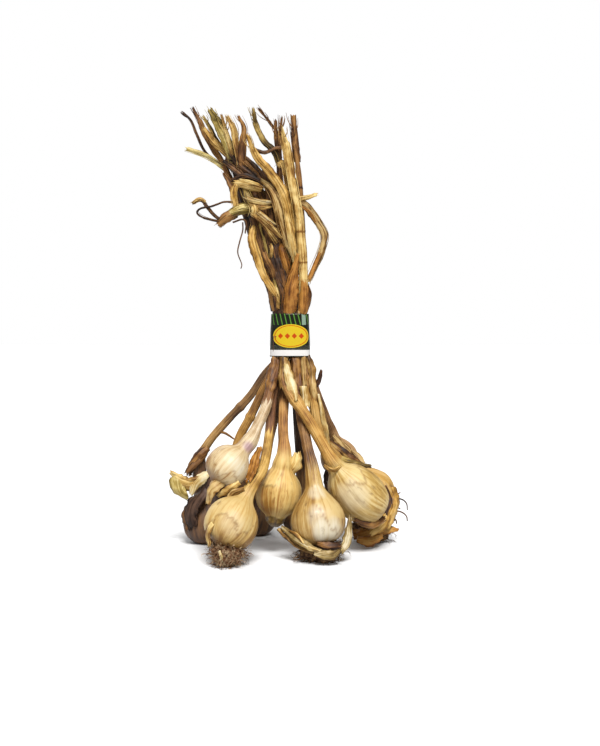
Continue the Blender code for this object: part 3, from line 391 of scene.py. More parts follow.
# Leaves in the tuft: finish, points as the front view shows them, half widths, and how far the
# leaf curls across, where 0.5 bends each side down by about 70 degrees.
TUFT_LEAVES = {
    "gold_tip": (
        "straw",
        [
            (9.6, -16.5, 324), (7.6, -17, 340), (5.0, -17, 355), (2.4, -17, 370), (-0.4, -17, 386),
            (-3.6, -17, 401), (-7.5, -17, 418),
        ],
        [1.6, 3.8, 4.6, 5.0, 5.4, 4.6, 0.8], 0.35,
    ),
    "long_gold": (
        "gold",
        [
            (6, -12, 290), (1, -15, 317), (-3.5, -17, 342), (-9, -19, 358), (-19, -20, 373),
            (-33, -21, 390), (-43, -23, 412),
        ],
        [3, 4, 4.4, 4.6, 4.6, 3.5, 0.8], 0.5,
    ),
    "pale_spear": (
        "straw", [(5, -13, 285), (2, -18, 300), (-1, -20.5, 318), (-4, -21, 336)], [2.2, 3.8, 4.0, 0.6],
        0.4,
    ),
    "front_blade": (
        "amber",
        [
            (-2.0, -13.2, 234.2), (-2.4, -15.6, 240), (-2, -17.5, 249), (1, -19, 265), (5, -19.5, 282),
            (8, -19.5, 294),
        ],
        [7.4, 8.0, 8.0, 6.4, 3.6, 1.8], 0.42,
    ),
    "right_blade": (
        "amber", [(12.4, -13, 234.2), (13.6, -15.5, 241), (14, -17, 254), (13, -16.5, 267)],
        [4.6, 5.0, 4.6, 2.4], 0.45,
    ),
    "right_loop": (
        "umber",
        [
            (10, -11, 345), (19, -10, 338), (27, -8, 327), (34.5, -8, 312), (31.5, -9, 297),
            (25.5, -10, 283), (18, -11, 266),
        ],
        [3, 4.4, 3.8, 3.2, 3.2, 2.6, 2.4], 0.5,
    ),
    "right_stub": (
        "straw", [(9, -12, 347.5), (18, -11.5, 350), (27, -10.5, 352.5)], [3.0, 3.4, 3.0], 0.3,
    ),
    "left_loop": (
        "gold",
        [
            (-35, -8, 324), (-37.5, -14, 309), (-33, -15.5, 292), (-27, -15, 274), (-18.6, -14.5, 260),
            (-12.3, -12, 250),
        ],
        [2, 4.2, 4.8, 3.8, 3.4, 2], 0.4,
    ),
    "tan_fold": (
        "straw", [(-28, -12, 358), (-37, -15, 360), (-47, -15.5, 363), (-55, -14, 364)],
        [3, 4.6, 4.6, 2.5], 0.3,
    ),
    "tan_drop": (
        "gold", [(-50, -13, 366), (-55, -14.5, 358), (-55, -14.5, 347), (-52, -14, 338)],
        [2.4, 3.2, 3, 2.4], 0.4,
    ),
    "tan_shred": ("straw", [(-30, -13, 362), (-40, -17, 365), (-50, -16, 367)], [1.2, 2.2, 1], 0.3),
    "torn_pale": (
        "ivory", [(-17, -11, 345), (-29, -17, 345), (-38, -18, 347), (-45, -16, 350)],
        [1.6, 3.0, 3.0, 1.2], 0.35,
    ),
    "torn_pale_low": (
        "straw", [(-17, -10, 341), (-28, -16.5, 339.5), (-40, -17, 342)], [1.0, 2.2, 2.4], 0.35,
    ),
    "two_prong": (
        "straw", [(-8, -12, 308.5), (-17, -18.5, 318), (-26, -19.5, 327), (-36, -18, 336)],
        [0.7, 2.6, 4.2, 4.4], 0.35,
    ),
    "prong_mid": ("straw", [(-10.5, -12, 316), (-20, -19.5, 322), (-31, -20, 331)], [0.6, 2.0, 3.0], 0.3),
    "prong_high": ("ivory", [(-12, -13, 322), (-20, -19.5, 327), (-31, -20, 335)], [0.6, 2.0, 2.8], 0.3),
    "prong_low": ("straw", [(-12, -8, 303), (-19, -16, 314), (-29, -18, 327)], [0.6, 1.6, 2.0], 0.3),
    "behind_main": (
        "gold", [(-1, -9, 372), (1.5, -10, 350), (4, -10, 325), (6, -10, 300), (7.5, -9, 272)],
        [1.4, 3.2, 3.6, 3.4, 2.4], 0.3,
    ),
    "olive_patch": ("olive", [(-46, -11, 361), (-42, -15, 350), (-37, -16, 340)], [3, 5.5, 3.5], 0.4),
    "olive_knot": (
        "sage", [(-36, -9, 338), (-45, -15, 339), (-55, -15, 336), (-60, -13, 332)], [4, 5.2, 5.2, 4.4],
        0.5,
    ),
    "knot_wrap": ("straw", [(-39, -14, 344), (-36, -19.5, 338), (-38, -15, 331)], [3.2, 4.2, 3.4], 0.5),
    "loop_end": ("straw", [(-84, -12, 345), (-90, -12.5, 348), (-97, -12, 344)], [1.4, 2.3, 1.2], 0.4),
    "dark_stub": ("brown", [(-54, -12, 335), (-62, -14, 330), (-71, -12, 321.5)], [4.6, 5.2, 3.4], 0.6),
    "left_tendril": (
        "dark",
        [
            (-50, -12, 344), (-64, -14, 345), (-78, -14, 341), (-92, -13, 336), (-86, -13, 330),
            (-66, -12, 325),
        ],
        [1.4, 0.9, 0.9, 0.9, 0.9, 1.2], 0.3,
    ),
    "loop_leaf": (
        "dark", [(-64, -12, 325), (-74, -12, 331), (-83, -12, 341), (-88, -12, 347), (-96, -12, 344)],
        [2, 2, 2, 2, 1], 0.4,
    ),
    "side_spear": ("sage", [(-62, 17, 378), (-85, 18, 391), (-103, 18, 397)], [2.8, 2.4, 2.0], 0.5),
    "far_leaf": (
        "brown", [(-62, 17, 376), (-78, 20, 401), (-90, 22, 425), (-96, 22, 438)], [3, 3, 3, 1], 0.4,
    ),
    "far_thread": (
        "dark", [(-64, 18, 379), (-84, 22, 394), (-93, 23, 412), (-99, 24, 426), (-107, 25, 434)],
        [1.6, 1.4, 1.4, 1.4, 1], 0.4,
    ),
    "orange_leaf": (
        "gold", [(-52, 9, 382), (-63, 10, 394), (-74, 10, 403), (-85, 11, 418)], [3.5, 3.8, 3.8, 1.5],
        0.4,
    ),
    "olive_tip": (
        "olive", [(-60, 9, 390), (-70, 13, 402), (-80, 14, 420), (-86, 14, 430)], [2.5, 2, 2, 1], 0.4,
    ),
    "wide_olive": (
        "sage", [(-50, 2, 364), (-56, 2, 388), (-62, 1, 405), (-69, 2, 420), (-79, 3, 437)],
        [4, 5, 6, 6.4, 3], 0.4,
    ),
    "wide_olive_edge": (
        "straw", [(-52, 0, 380), (-58, -1, 396), (-62, -1, 410), (-68, 0, 431)], [1.4, 2.2, 2.2, 0.9],
        0.4,
    ),
    "yellow_leaf": (
        "straw", [(-48, -5, 378), (-53, -6, 402), (-56, -7, 418), (-62, -7, 430)], [3, 3.5, 3.5, 1.5],
        0.4,
    ),
    "brown_fold": (
        "brown", [(-47, -6, 372), (-48, -8, 388), (-47, -8, 404), (-46, -8, 418), (-51, -8, 430)],
        [3, 4.8, 5, 2.5, 0.8], 0.5,
    ),
    "dark_olive": (
        "olive", [(-10, 6, 380), (-16, 2, 396), (-26, 1, 406), (-33, 2, 420), (-37, 3, 438)],
        [2.5, 3, 3, 2.5, 1], 0.4,
    ),
    "thin_brown": (
        "brown", [(-11, 8, 396), (-12, 8, 412), (-18, 8, 421), (-31, 8, 437)], [1.6, 1.4, 1.4, 0.9], 0.3,
    ),
    "brown_tip": ("brown", [(-10, 8, 388), (-13, 6, 404), (-14, 6, 426)], [2.5, 2.5, 1.8], 0.4),
    "red_tip": ("brown", [(-10, 7, 392), (-9, 5, 412), (-8, 4, 429)], [1.6, 1.6, 1], 0.4),
    "right_tip": ("brown", [(7, 1, 385), (5, 4, 406), (2, 4, 431)], [3.5, 3.5, 2.5], 0.5),
    "inner_gold": (
        "tan",
        [
            (-29, -10, 367), (-20, -15, 360), (-15, -17, 351), (-11, -17, 339), (-7, -16, 321),
            (-1, -15, 304), (4, -13, 290),
        ],
        [2.5, 4, 5, 5, 4.4, 4, 2], 0.5,
    ),
    "curled": (
        "gold", [(-12, -6, 380), (-7, -10, 384), (-3, -11, 372), (-1, -11, 354)], [2, 3, 3.5, 2], 0.6,
    ),
    "cross_brown": (
        "brown", [(-36, -2, 398), (-25, -2, 394), (-14, 1, 399), (-4, 1, 399)], [1.4, 2, 2, 1.4], 0.4,
    ),
    "right_edge": (
        "brown", [(12, -3, 230), (18.5, -6, 243), (20, -7, 254), (16, -8, 267)], [1.6, 2.4, 2.4, 1.4],
        0.4,
    ),
    "middle_brown": (
        "amber", [(-9, -7, 304), (-8, -13, 296), (-4, -13.5, 284), (-2, -9, 270)], [2, 3.5, 4, 1.5], 0.5,
    ),
    "middle_grey": (
        "brown", [(-27, -6, 300), (-24, -12, 290), (-18, -12.5, 278), (-14, -8, 262)], [2, 3, 3, 1.5],
        0.4,
    ),
    "dark_mass": (
        "dark", [(-64, 6, 388), (-53, 2, 380), (-40, 0, 374), (-26, 0, 364)], [4, 8, 8, 5], 0.3,
    ),
    "dark_strand_a": ("dark", [(-66, 2, 386), (-55, -6, 378), (-42, -10, 367)], [1.4, 2.8, 1.8], 0.5),
    "dark_strand_b": (
        "dark", [(-60, 0, 393), (-50, -7, 381), (-37, -10, 371), (-26, -10, 358)], [1.2, 2.6, 3, 2], 0.5,
    ),
    "dark_strand_c": ("brown", [(-54, -1, 392), (-43, -8, 384), (-31, -10, 373)], [1.2, 2.2, 1.4], 0.5),
    "dark_strand_d": ("dark", [(-46, -3, 391), (-35, -9, 381), (-22, -9, 366)], [1.2, 2.6, 1.8], 0.5),
    "dark_strand_e": ("dark", [(-58, -8, 367), (-45, -12, 371), (-30, -12, 366)], [1.4, 2.6, 1.8], 0.5),
    "dark_strand_f": ("brown", [(-66, 0, 374), (-60, -6, 364), (-56, -7, 350)], [1.4, 2.6, 2], 0.5),
    "dark_strand_g": ("brown", [(-24, -6, 374), (-18, -11, 364), (-13, -12, 350)], [1.2, 2.4, 1.6], 0.5),
    "small_yellow": ("straw", [(-19, -10, 304), (-18, -13, 299), (-19, -11, 291)], [0.8, 1.8, 0.8], 0.3),
    "low_left": (
        "brown", [(-26, -6, 277), (-22, -10, 265), (-15, -12, 252), (-12, -10, 238)], [2, 3.2, 3.4, 3],
        0.5,
    ),
    "low_middle": (
        "dark", [(-14, -9, 272), (-9, -13, 262), (-6, -14, 250), (-6, -11, 236)], [2, 3.2, 3.6, 3.4], 0.5,
    ),
    "low_straw": ("straw", [(-14, -11, 262), (-12, -13, 252), (-12, -12, 240)], [1, 1.8, 1.6], 0.4),
    "right_loop_high": (
        "amber", [(12, -12.5, 341), (19.5, -12, 335), (26, -10.5, 325)], [1.2, 2.2, 1.2], 0.4,
    ),
    "right_loop_low": ("amber", [(30, -11, 295), (25, -12, 283), (19, -12.5, 268)], [1.2, 2.0, 1.2], 0.4),
}

# The tuft's core: height, middle across and in depth, half width and half depth of its sections.
CORE_SECTIONS = (
    (214.0, 0.0, 0.0, 17.6, 13.2),
    (235.0, 0.0, 0.0, 17.4, 13.0),
    (250.0, -3.0, 0.0, 15.2, 12.2),
    (280.0, -12.0, 1.0, 14.6, 10.6),
    (310.0, -21.0, 2.0, 13.6, 9.6),
    (340.0, -30.0, 3.0, 11.6, 7.6),
    (362.0, -38.0, 4.0, 7.0, 4.0),
)

# Torn skins, scales and sheaths that stand clear of a bulb or a stalk: finish, points on the
# bunch itself, half widths, which way the sheet faces and how far it curls across. Sheets of
# the shade finish are dark sheets put where only shade is seen: painted shade, not skins.
SHEETS = {
    "amber_under_top": (
        "tan", [(-62, -74, 80), (-73, -76, 70), (-77, -74, 56)], [6, 7, 2.5], (-0.6, -0.8, 0), 0.4,
    ),
    "straw_under_top": (
        "straw", [(-46, -76, 76), (-56, -76, 69), (-66, -72, 62)], [3, 5, 2], (0, -1, -0.3), 0.4,
    ),
    "gold_under_top": (
        "tan", [(-42, -74, 70), (-52, -76, 66), (-60, -74, 56)], [3, 5, 2], (0, -1, -0.3), 0.4,
    ),
    "ivory_front_left": (
        "straw", [(-69, -97, 42), (-74.5, -94, 32), (-73.5, -93, 21)], [2.4, 5, 3], (-0.6, -0.8, 0), 0.15,
    ),
    "straw_front_left": (
        "ivory", [(-64, -97, 17), (-62, -99, 12), (-61, -98, 7)], [1, 1.8, 1], (-0.2, -0.9, 0), 0.4,
    ),
    "amber_sheath": (
        "russet", [(-27.5, -56, 107), (-31, -64, 97), (-34, -67, 86), (-38.5, -68, 76)],
        [3.2, 6.2, 6.4, 4.4], (-0.3, -1, 0), 0.2,
    ),
    "centre_flap": (
        "straw", [(-1, -42, 80), (5, -44, 89), (8, -42, 100)], [5, 6.5, 3], (0.2, -1, 0), 0.5,
    ),
    "skirt": (
        "dun", [(-8, -61, 32), (0, -70, 27), (9, -78, 22), (20, -84, 17), (30, -86, 14)],
        [2, 3.4, 3.6, 3.4, 1.8], (-0.2, -1, 0.4), 0.15,
    ),
    "skirt_mid": (
        "tan", [(-11, -58, 29), (-1, -68, 22), (9, -76, 16), (22, -81, 11)], [1.6, 2.8, 2.8, 1.6],
        (-0.2, -1, 0.3), 0.3,
    ),
    "skirt_inner": (
        "brown", [(26, -79, 20), (36, -82, 18), (48, -77, 18)], [2.0, 4.0, 2.6], (0, -1, 0.2), 0.25,
    ),
    "skirt_low": (
        "dun", [(23, -85, 12), (31, -88, 11), (40, -88, 11), (47, -84, 14)], [1.6, 4.4, 4.4, 2],
        (0, -1, 0.2), 0.25,
    ),
    "skirt_right": (
        "dun", [(57, -66, 44), (57, -69, 36), (56, -71, 27), (54, -73, 18), (49, -76, 11)],
        [0.7, 3.6, 5.4, 5.2, 3], (0.3, -1, 0), 0.2,
    ),
    "skirt_scrap": (
        "straw", [(0, -70, 30), (8, -77, 27), (14, -82, 20)], [0.8, 1.8, 0.8], (-0.2, -1, 0.5), 0.3,
    ),
    "skirt_scrap_low": (
        "ivory", [(10, -79, 21), (20, -84, 17), (30, -87, 14)], [0.5, 1.4, 0.7], (-0.2, -1, 0.4), 0.3,
    ),
    "curl_far_left": (
        "straw", [(-88, 8, 68), (-100, 4, 64), (-111, 6, 67), (-121, 8, 74)], [4, 8, 9, 3],
        (-0.2, -1, 0.1), 0.4,
    ),
    "curl_far_left_outer": (
        "sage", [(-115, 6, 70), (-114, 4, 62), (-111, 4, 54), (-104, 6, 47)], [6, 8, 6, 2], (-0.3, -1, 0),
        0.4,
    ),
    "curl_far_left_mid": (
        "ivory", [(-80, 8, 74), (-88, 5, 71), (-96, 3, 64), (-100, 4, 53)], [4, 6.6, 6, 2.6],
        (-0.2, -1, 0.2), 0.45,
    ),
    # Painted shade: a dark sheet over the far left bulb, where shade falls.
    "dark_far_left": (
        "shade", [(-80, 0, 62), (-90, -4, 50), (-98, -4, 36), (-96, -2, 20)], [6, 9, 9, 5], (-0.3, -1, 0),
        0.4,
    ),
    # Painted shade: a dark sheet over the far left bulb, where shade falls.
    "dark_far_left_low": (
        "dark", [(-100, 4, 42), (-106, 2, 30), (-104, 2, 16)], [4, 6, 4], (-0.5, -0.9, 0), 0.4,
    ),
    # Painted shade: a dark sheet under the top left bulb, where shade falls.
    "dark_under_top": (
        "shade", [(-56, -14, 80), (-64, -22, 70), (-72, -24, 57), (-74, -20, 46)], [4, 8, 8, 5],
        (-0.5, -1, 0), 0.4,
    ),
    # Painted shade: a dark sheet filling the shaded gap between the right bulbs.
    "dark_behind_right": (
        "shade", [(47, 31, 82), (42, 26, 66), (46, 22, 50), (54, 18, 40)], [6, 11, 11, 5], (0, -1, 0),
        0.4,
    ),
    "flake_right": (
        "russet", [(64, 12, 10), (80, 10, 14), (96, 12, 16), (111, 16, 14)], [5, 8, 6, 1.5], (0, -1, 0.5),
        0.3,
    ),
    "flake_right_low": (
        "russet", [(67, -6, 9), (80, -10, 9), (92, -7, 12)], [3.6, 6.5, 3], (0, -1, 0.7), 0.4,
    ),
    "collar_right": (
        "straw", [(33, -51, 89), (41, -54, 85), (49, -48, 88)], [1.4, 3.2, 1.4], (0, -1, 0.4), 0.4,
    ),
    "sheath_right": (
        "gold", [(104, 14, 58), (108, 10, 44), (104, 8, 30), (96, 6, 18)], [4, 7, 7, 4], (0.4, -1, 0),
        0.5,
    ),
    "sheath_right_low": ("gold", [(96, 2, 34), (92, -4, 24), (80, -8, 16)], [5, 7, 4], (0.2, -1, 0), 0.5),
    "under_right": (
        "brown", [(62, -46, 35), (78, -42, 29), (93, -30, 33)], [3, 4.6, 3], (0, -1, -0.2), 0.4,
    ),
    "rim_right": ("brown", [(92, -30, 66), (97, -30, 52), (94, -36, 40)], [2, 3, 2], (0.5, -1, 0), 0.5),
}

# The same, placed as the front view shows them.
SEEN_SHEETS = {
    "ivory_scale": (
        "ivory", [(-4, -21, 184), (-1, -27, 172), (3, -34, 158), (6, -39, 147)], [2.4, 5.0, 4.8, 1.6],
        (0, -1, 0), 0.25,
    ),
    "ivory_sheath": (
        "ivory", [(13, -27, 162), (14, -29, 150), (14, -31, 141)], [3.5, 5, 4.5], (0, -1, 0), 0.6,
    ),
    "pale_strip": (
        "ivory", [(28, -20, 154), (31.5, -20.5, 136), (35, -20, 118), (39, -18, 98)],
        [1.3, 3.0, 3.4, 2.4], (0, -1, 0), 0.2,
    ),
    "fibre_back_right": (
        "tan", [(36, -6, 110), (44, -2, 101), (53, 0, 94), (60, 3, 88)], [1.2, 2.6, 2.8, 1.2],
        (0, -1, 0.2), 0.4,
    ),
    "pale_back_right": (
        "umber", [(44, 29, 113), (51, 29, 104), (58, 28, 95), (64, 26, 88)], [1.8, 5.4, 5.2, 2.4],
        (0.2, -1, 0.2), 0.3,
    ),
    "red_stub": (
        "brown", [(25, -18, 162), (29, -17, 170), (31, -17, 178)], [2.2, 3, 1.4], (0, -1, 0), 0.5,
    ),
    "fibrous_back_right": (
        "brown", [(38, 6, 106), (50, 4, 95), (62, 4, 88), (76, 8, 80)], [4, 6, 5, 2], (0, -1, 0.2), 0.4,
    ),
    "gold_back_right": (
        "olive", [(40, 2, 98), (54, -2, 88), (70, 2, 84), (82, 6, 82)], [2, 3.6, 3.4, 2], (0, -1, 0.4),
        0.4,
    ),
    "pink_back_right": (
        "umber", [(62, 18, 97), (69, 15, 91), (74, 12, 84)], [1.6, 4, 2], (0.2, -1, 0.2), 0.4,
    ),
    "neck_scale_left": (
        "brown", [(-82, 8, 100), (-91, 5, 92), (-99, 5, 80), (-102, 5, 72)], [3, 6, 5, 2], (0, -1, 0),
        0.5,
    ),
    "neck_scale_left_dark": (
        "dark", [(-90, 4, 88), (-99, 2, 80), (-104, 2, 74)], [3, 4, 1.5], (0, -1, 0), 0.5,
    ),
    "twig_left": (
        "brown", [(-73, 11, 115), (-66, 9, 115), (-56, 8, 109)], [1.0, 1.6, 0.8], (0, -1, 0), 0.3,
    ),
    "front_sheath_left": (
        "brown", [(-14, -9, 195), (-16, -17, 181), (-20, -26, 162), (-24, -30, 148)], [2.6, 5.4, 5.6, 3],
        (0, -1, 0), 0.6,
    ),
    "olive_left": ("tan", [(-7, -13, 194), (-8, -20, 179), (-7, -28, 160)], [4, 5, 4], (0, -1, 0), 0.5),
    "broad_brown": (
        "brown", [(5, -13, 194), (6.5, -17, 181), (7.5, -22, 163)], [6, 7, 3.4], (0, -1, 0), 0.3,
    ),
    "tan_middle": (
        "tan", [(13, -13, 194), (14, -17, 178), (14.5, -22, 162)], [2.4, 3, 2], (0, -1, 0), 0.5,
    ),
    "front_sheath_right": (
        "tan", [(15, -11, 195), (19.5, -15, 180), (22, -20, 160), (25, -21, 140)], [2.4, 5, 4.8, 3],
        (0, -1, 0), 0.5,
    ),
    # Painted shade: a dark sheet below the left curl, where shade falls.
    "dark_by_curl": (
        "shade", [(-72, 0, 76), (-79, -2, 67), (-83, -2, 56)], [3, 5, 3], (-0.2, -1, 0), 0.4,
    ),
}

# Threads and bare root hairs: points as the front view shows them and radius.
THREADS = {
    "hanging": (
        [
            (-47, -15, 325), (-47, -16, 317), (-50, -16, 306), (-52, -16, 295), (-48, -16, 283),
            (-49, -16, 279),
        ],
        0.7,
    ),
    "spike": ([(-57, -15, 325), (-45, -15, 327), (-44.5, -15, 314)], 0.9),
    "filament_a": ([(-97, 8, 85), (-103, 7, 80), (-106, 7, 74)], 0.5),
    "filament_b": ([(-97, 8, 82), (-100, 6, 76), (-98, 6, 72)], 0.5),
    "root_a": ([(100, 20, 42), (106, 16, 48), (112, 15, 48), (117, 15, 44), (118, 15, 37)], 0.8),
    "root_b": ([(100, 20, 34), (106, 16, 36), (112, 15, 35), (117, 14, 31), (118, 14, 26)], 0.8),
    "root_c": ([(100, 20, 30), (104, 16, 29), (107, 15, 26), (107, 15, 23)], 0.8),
    "root_d": ([(100, 20, 48), (106, 16, 52), (111, 15, 55)], 0.7),
    "root_e": ([(99, 20, 40), (105, 16, 40), (111, 15, 38.5)], 0.8),
    "root_f": ([(100, 20, 52), (105, 16, 47), (106.5, 15.5, 37), (105, 15.5, 26)], 0.8),
}


class GarlicBulbSettings(bpy.types.PropertyGroup):
    clove_depth: FloatProperty(
        name="Clove depth",
        description="Depth of the grooves between cloves, as a share of the bulb's radius", default=0.045,
        min=0.0, max=0.2,
    )
    wrinkle: FloatProperty(
        name="Wrinkle", description="Height of the ridges along the skin, in millimetres", default=0.32,
        min=0.0, max=2.0,
    )
    ring_step: FloatProperty(
        name="Ring step", description="Distance between rings of the mesh, in millimetres", default=1.2,
        min=0.4, max=5.0,
    )
    around: IntProperty(
        name="Points around", description="Points in a ring of the mesh", default=96, min=24, max=192,
    )


class GarlicLeafSettings(bpy.types.PropertyGroup):
    thickness: FloatProperty(
        name="Thickness", description="Thickness of a dry leaf", default=0.45 * MM, unit="LENGTH",
        subtype="DISTANCE",
    )
    ripple: FloatProperty(
        name="Ripple", description="Height of a leaf's waves, in millimetres", default=1.3, min=0.0,
        max=5.0,
    )
    turn: FloatProperty(
        name="Turn", description="How far a leaf turns along its length", default=0.9, subtype="ANGLE",
        unit="ROTATION",
    )
    step: FloatProperty(
        name="Step", description="Distance between a leaf's rows of points, in millimetres", default=1.3,
        min=0.4, max=5.0,
    )
    across: IntProperty(
        name="Points across", description="Points across a leaf", default=17, min=5, max=33,
    )


class GarlicRootSettings(bpy.types.PropertyGroup):
    density: FloatProperty(
        name="Density", description="Root hairs on each square metre of mat", default=380000.0, min=0.0,
    )
    length: FloatProperty(
        name="Length", description="Length of a root hair", default=9.0 * MM, unit="LENGTH",
        subtype="DISTANCE",
    )
    thickness: FloatProperty(
        name="Thickness", description="Radius of a root hair", default=0.3 * MM, unit="LENGTH",
        subtype="DISTANCE",
    )
    seed: IntProperty(name="Seed", description="Seed of the random places", default=5)


class GarlicLabelSettings(bpy.types.PropertyGroup):
    field: FloatVectorProperty(
        name="Field", description="Ground colour of the label", subtype="COLOR", size=4,
        default=linear("#181b12"), min=0.0, max=1.0,
    )
    stripes: FloatVectorProperty(
        name="Stripes", description="Colour of the stripes", subtype="COLOR", size=4,
        default=linear("#5d8f3a"), min=0.0, max=1.0,
    )
    panel: FloatVectorProperty(
        name="Panel", description="Colour of the panel", subtype="COLOR", size=4,
        default=linear("#e3c440"), min=0.0, max=1.0,
    )
    ornament: FloatVectorProperty(
        name="Ornament", description="Colour of the ornament", subtype="COLOR", size=4,
        default=linear("#c8501a"), min=0.0, max=1.0,
    )
    strip: FloatVectorProperty(
        name="Strip", description="Colour of the plain strip", subtype="COLOR", size=4,
        default=linear("#f7f3f0"), min=0.0, max=1.0,
    )


class GarlicStageSettings(bpy.types.PropertyGroup):
    key: FloatProperty(name="Key light", description="Strength of the main light", default=5.6, min=0.0)
    fill: FloatProperty(
        name="Back light", description="Strength of the light from behind", default=1.4, min=0.0,
    )
    sky: FloatProperty(
        name="Surroundings",
        description="Light from the white surroundings, as a share of how bright they look", default=0.32,
        min=0.0,
    )


def add_node(tree, kind, inputs=None, stops=(), **settings):
    """Adds a node with its settings and colour stops; an input is a value or an output to link."""
    node = tree.nodes.new(kind)
    for name, value in settings.items():
        setattr(node, name, value)
    for socket, value in (inputs or {}).items():
        if isinstance(value, bpy.types.NodeSocket):
            tree.links.new(value, node.inputs[socket])
        else:
            node.inputs[socket].default_value = value
    if len(stops) == 3:
        node.color_ramp.elements.new(0.5)
    for i, (place, code) in enumerate(stops):
        node.color_ramp.elements[i].position = place
        node.color_ramp.elements[i].color = linear(code)
    return node


def new_material(name, attributes, noises, sums):
    """A material, its tree and its shader, with the attributes, noises and sums that it mixes."""
    material = bpy.data.materials.new(name)
    material.use_nodes = True
    tree = material.node_tree
    made = {"place": add_node(tree, "ShaderNodeTexCoord").outputs["Object"]}
    for key in attributes:
        attribute = add_node(tree, "ShaderNodeAttribute", attribute_name=key)
        made[key] = attribute.outputs["Vector" if key in ("fibre", "print") else "Fac"]
    for key, (source, scale, detail, roughness) in noises.items():
        stretched = add_node(
            tree, "ShaderNodeVectorMath", {0: made[source], 1: scale}, operation="MULTIPLY",
        )
        made[key] = add_node(tree, "ShaderNodeTexNoise", {
            "Vector": stretched.outputs[0], "Scale": 1.0, "Detail": detail, "Roughness": roughness,
        }).outputs["Fac"]
    for key, (total, weights) in sums.items():
        for source, weight in weights.items():
            total = add_node(
                tree, "ShaderNodeMath", {0: made[source], 1: weight, 2: total}, operation="MULTIPLY_ADD",
            ).outputs[0]
        made[key] = total
    return material, tree, tree.nodes["Principled BSDF"], made


def finish_shader(tree, shader, linked, fixed):
    """Links outputs to some of the shader's sockets and sets others to their numbers."""
    for socket, output in linked.items():
        tree.links.new(output, shader.inputs[socket])
    for socket, value in fixed.items():
        shader.inputs[socket].default_value = value


# A Mix node's sockets for colours: how much lies over, what lies under, what lies over, result.
MIX_SHARE = 0
MIX_UNDER = 6
MIX_OVER = 7
MIX_RESULT = 2

# Noises: what they are measured on, their scale along each axis, detail and roughness. Fibre is
# in millimetres round and along the piece, place in metres.
SKIN_NOISES = {
    "veins": ("fibre", (0.95, 0.95, 0.04), 5.0, 0.62),
    "bands": ("fibre", (0.2, 0.2, 0.022), 3.0, 0.55),
    "stains": ("fibre", (0.3, 0.3, 0.09), 4.0, 0.55),
    "patches": ("place", (45.0, 45.0, 45.0), 3.0, 0.55),
    "specks": ("place", (420.0, 420.0, 420.0), 2.0, 0.55),
}
LEAF_NOISES = {
    "ribs": ("fibre", (1.6, 1.6, 0.03), 4.0, 0.55),
    "bands": ("fibre", (0.45, 0.45, 0.035), 3.0, 0.55),
    "patches": ("place", (70.0, 70.0, 70.0), 4.0, 0.55),
}
# Where the dark, middle and light colour of a ramp stand.
SKIN_PLACES = (0.25, 0.5, 0.75)
LEAF_PLACES = (0.18, 0.5, 0.78)
ROOT_PLACES = (0.34, 0.48, 0.61)


def dry_skin_material(name, plant):
    """Dried garlic skin: thin, silky, straw coloured, with veins that run from root to neck, a side
    painted lighter as if lit, and spots of painted highlight.
    """
    material, tree, shader, made = new_material(
        name, ("fibre", "lit_side_and_layer", "stem", "upper", "worn", "nub", "blush", "painted_highlight"), SKIN_NOISES, {
            # Painted light: the bulb's lightness takes in its side painted lighter, as if lit, and its
            # outer layer's own colour.
            "light": (-0.85, {"lit_side_and_layer": 0.30, "bands": 0.75, "veins": 1.15, "patches": 0.8}),
            "stalk_light": (-0.85, {"veins": 1.6, "patches": 1.1}),
            "height": (0.0, {"veins": 1.0, "specks": 0.15}),
            "rough": (plant["gloss"], {"veins": 0.25, "stem": 0.15, "nub": -0.22}),
        })
    root_end = plant.get("root_end", ("#6f4a25", "#a97a40"))
    for key, source, stops in (
        ("bulb_colour", "light", zip(SKIN_PLACES, plant["skin"])),
        ("stem_colour", "stalk_light", zip(SKIN_PLACES, plant["stem"])),
        ("upper_colour", "stalk_light", zip(SKIN_PLACES, plant["upper"])),
        # Painted highlight: near-white spots where the bulb would catch the light.
        ("painted_highlight_colour", "veins", ((0.0, "#e3cfa2"), (1.0, "#fdf6e6"))),
        ("worn_colour", "specks", ((0.2, root_end[0]), (0.8, root_end[1]))),
    ):
        ramp = add_node(tree, "ShaderNodeValToRGB", {"Fac": made[source]}, tuple(stops))
        made[key] = ramp.outputs["Color"]
    stained = add_node(tree, "ShaderNodeMapRange", {
        "Value": made["stains"], "From Min": 0.60, "From Max": 0.72, "To Min": 0.0, "To Max": 0.5,
    }).outputs[0]
    colour = made["bulb_colour"]
    for share, over, blend in (
        (made["painted_highlight"], made["painted_highlight_colour"], "MIX"),
        (made["stem"], made["stem_colour"], "MIX"),
        (made["upper"], made["upper_colour"], "MIX"),
        (made["worn"], made["worn_colour"], "MIX"),
        (made["blush"], linear("#b48f97"), "MIX"),
        (stained, linear(plant["skin"][0]), "MULTIPLY"),
    ):
        mixed = add_node(
            tree, "ShaderNodeMix", {MIX_SHARE: share, MIX_UNDER: colour, MIX_OVER: over},
            data_type="RGBA", blend_type=blend,
        )
        colour = mixed.outputs[MIX_RESULT]
    bump = add_node(
        tree, "ShaderNodeBump", {"Height": made["height"], "Strength": 0.55, "Distance": 0.5 * MM},
    )
    linked = {"Base Color": colour, "Normal": bump.outputs[0], "Roughness": made["rough"]}
    finish_shader(tree, shader, linked, {"Specular IOR Level": 0.4})
    return material


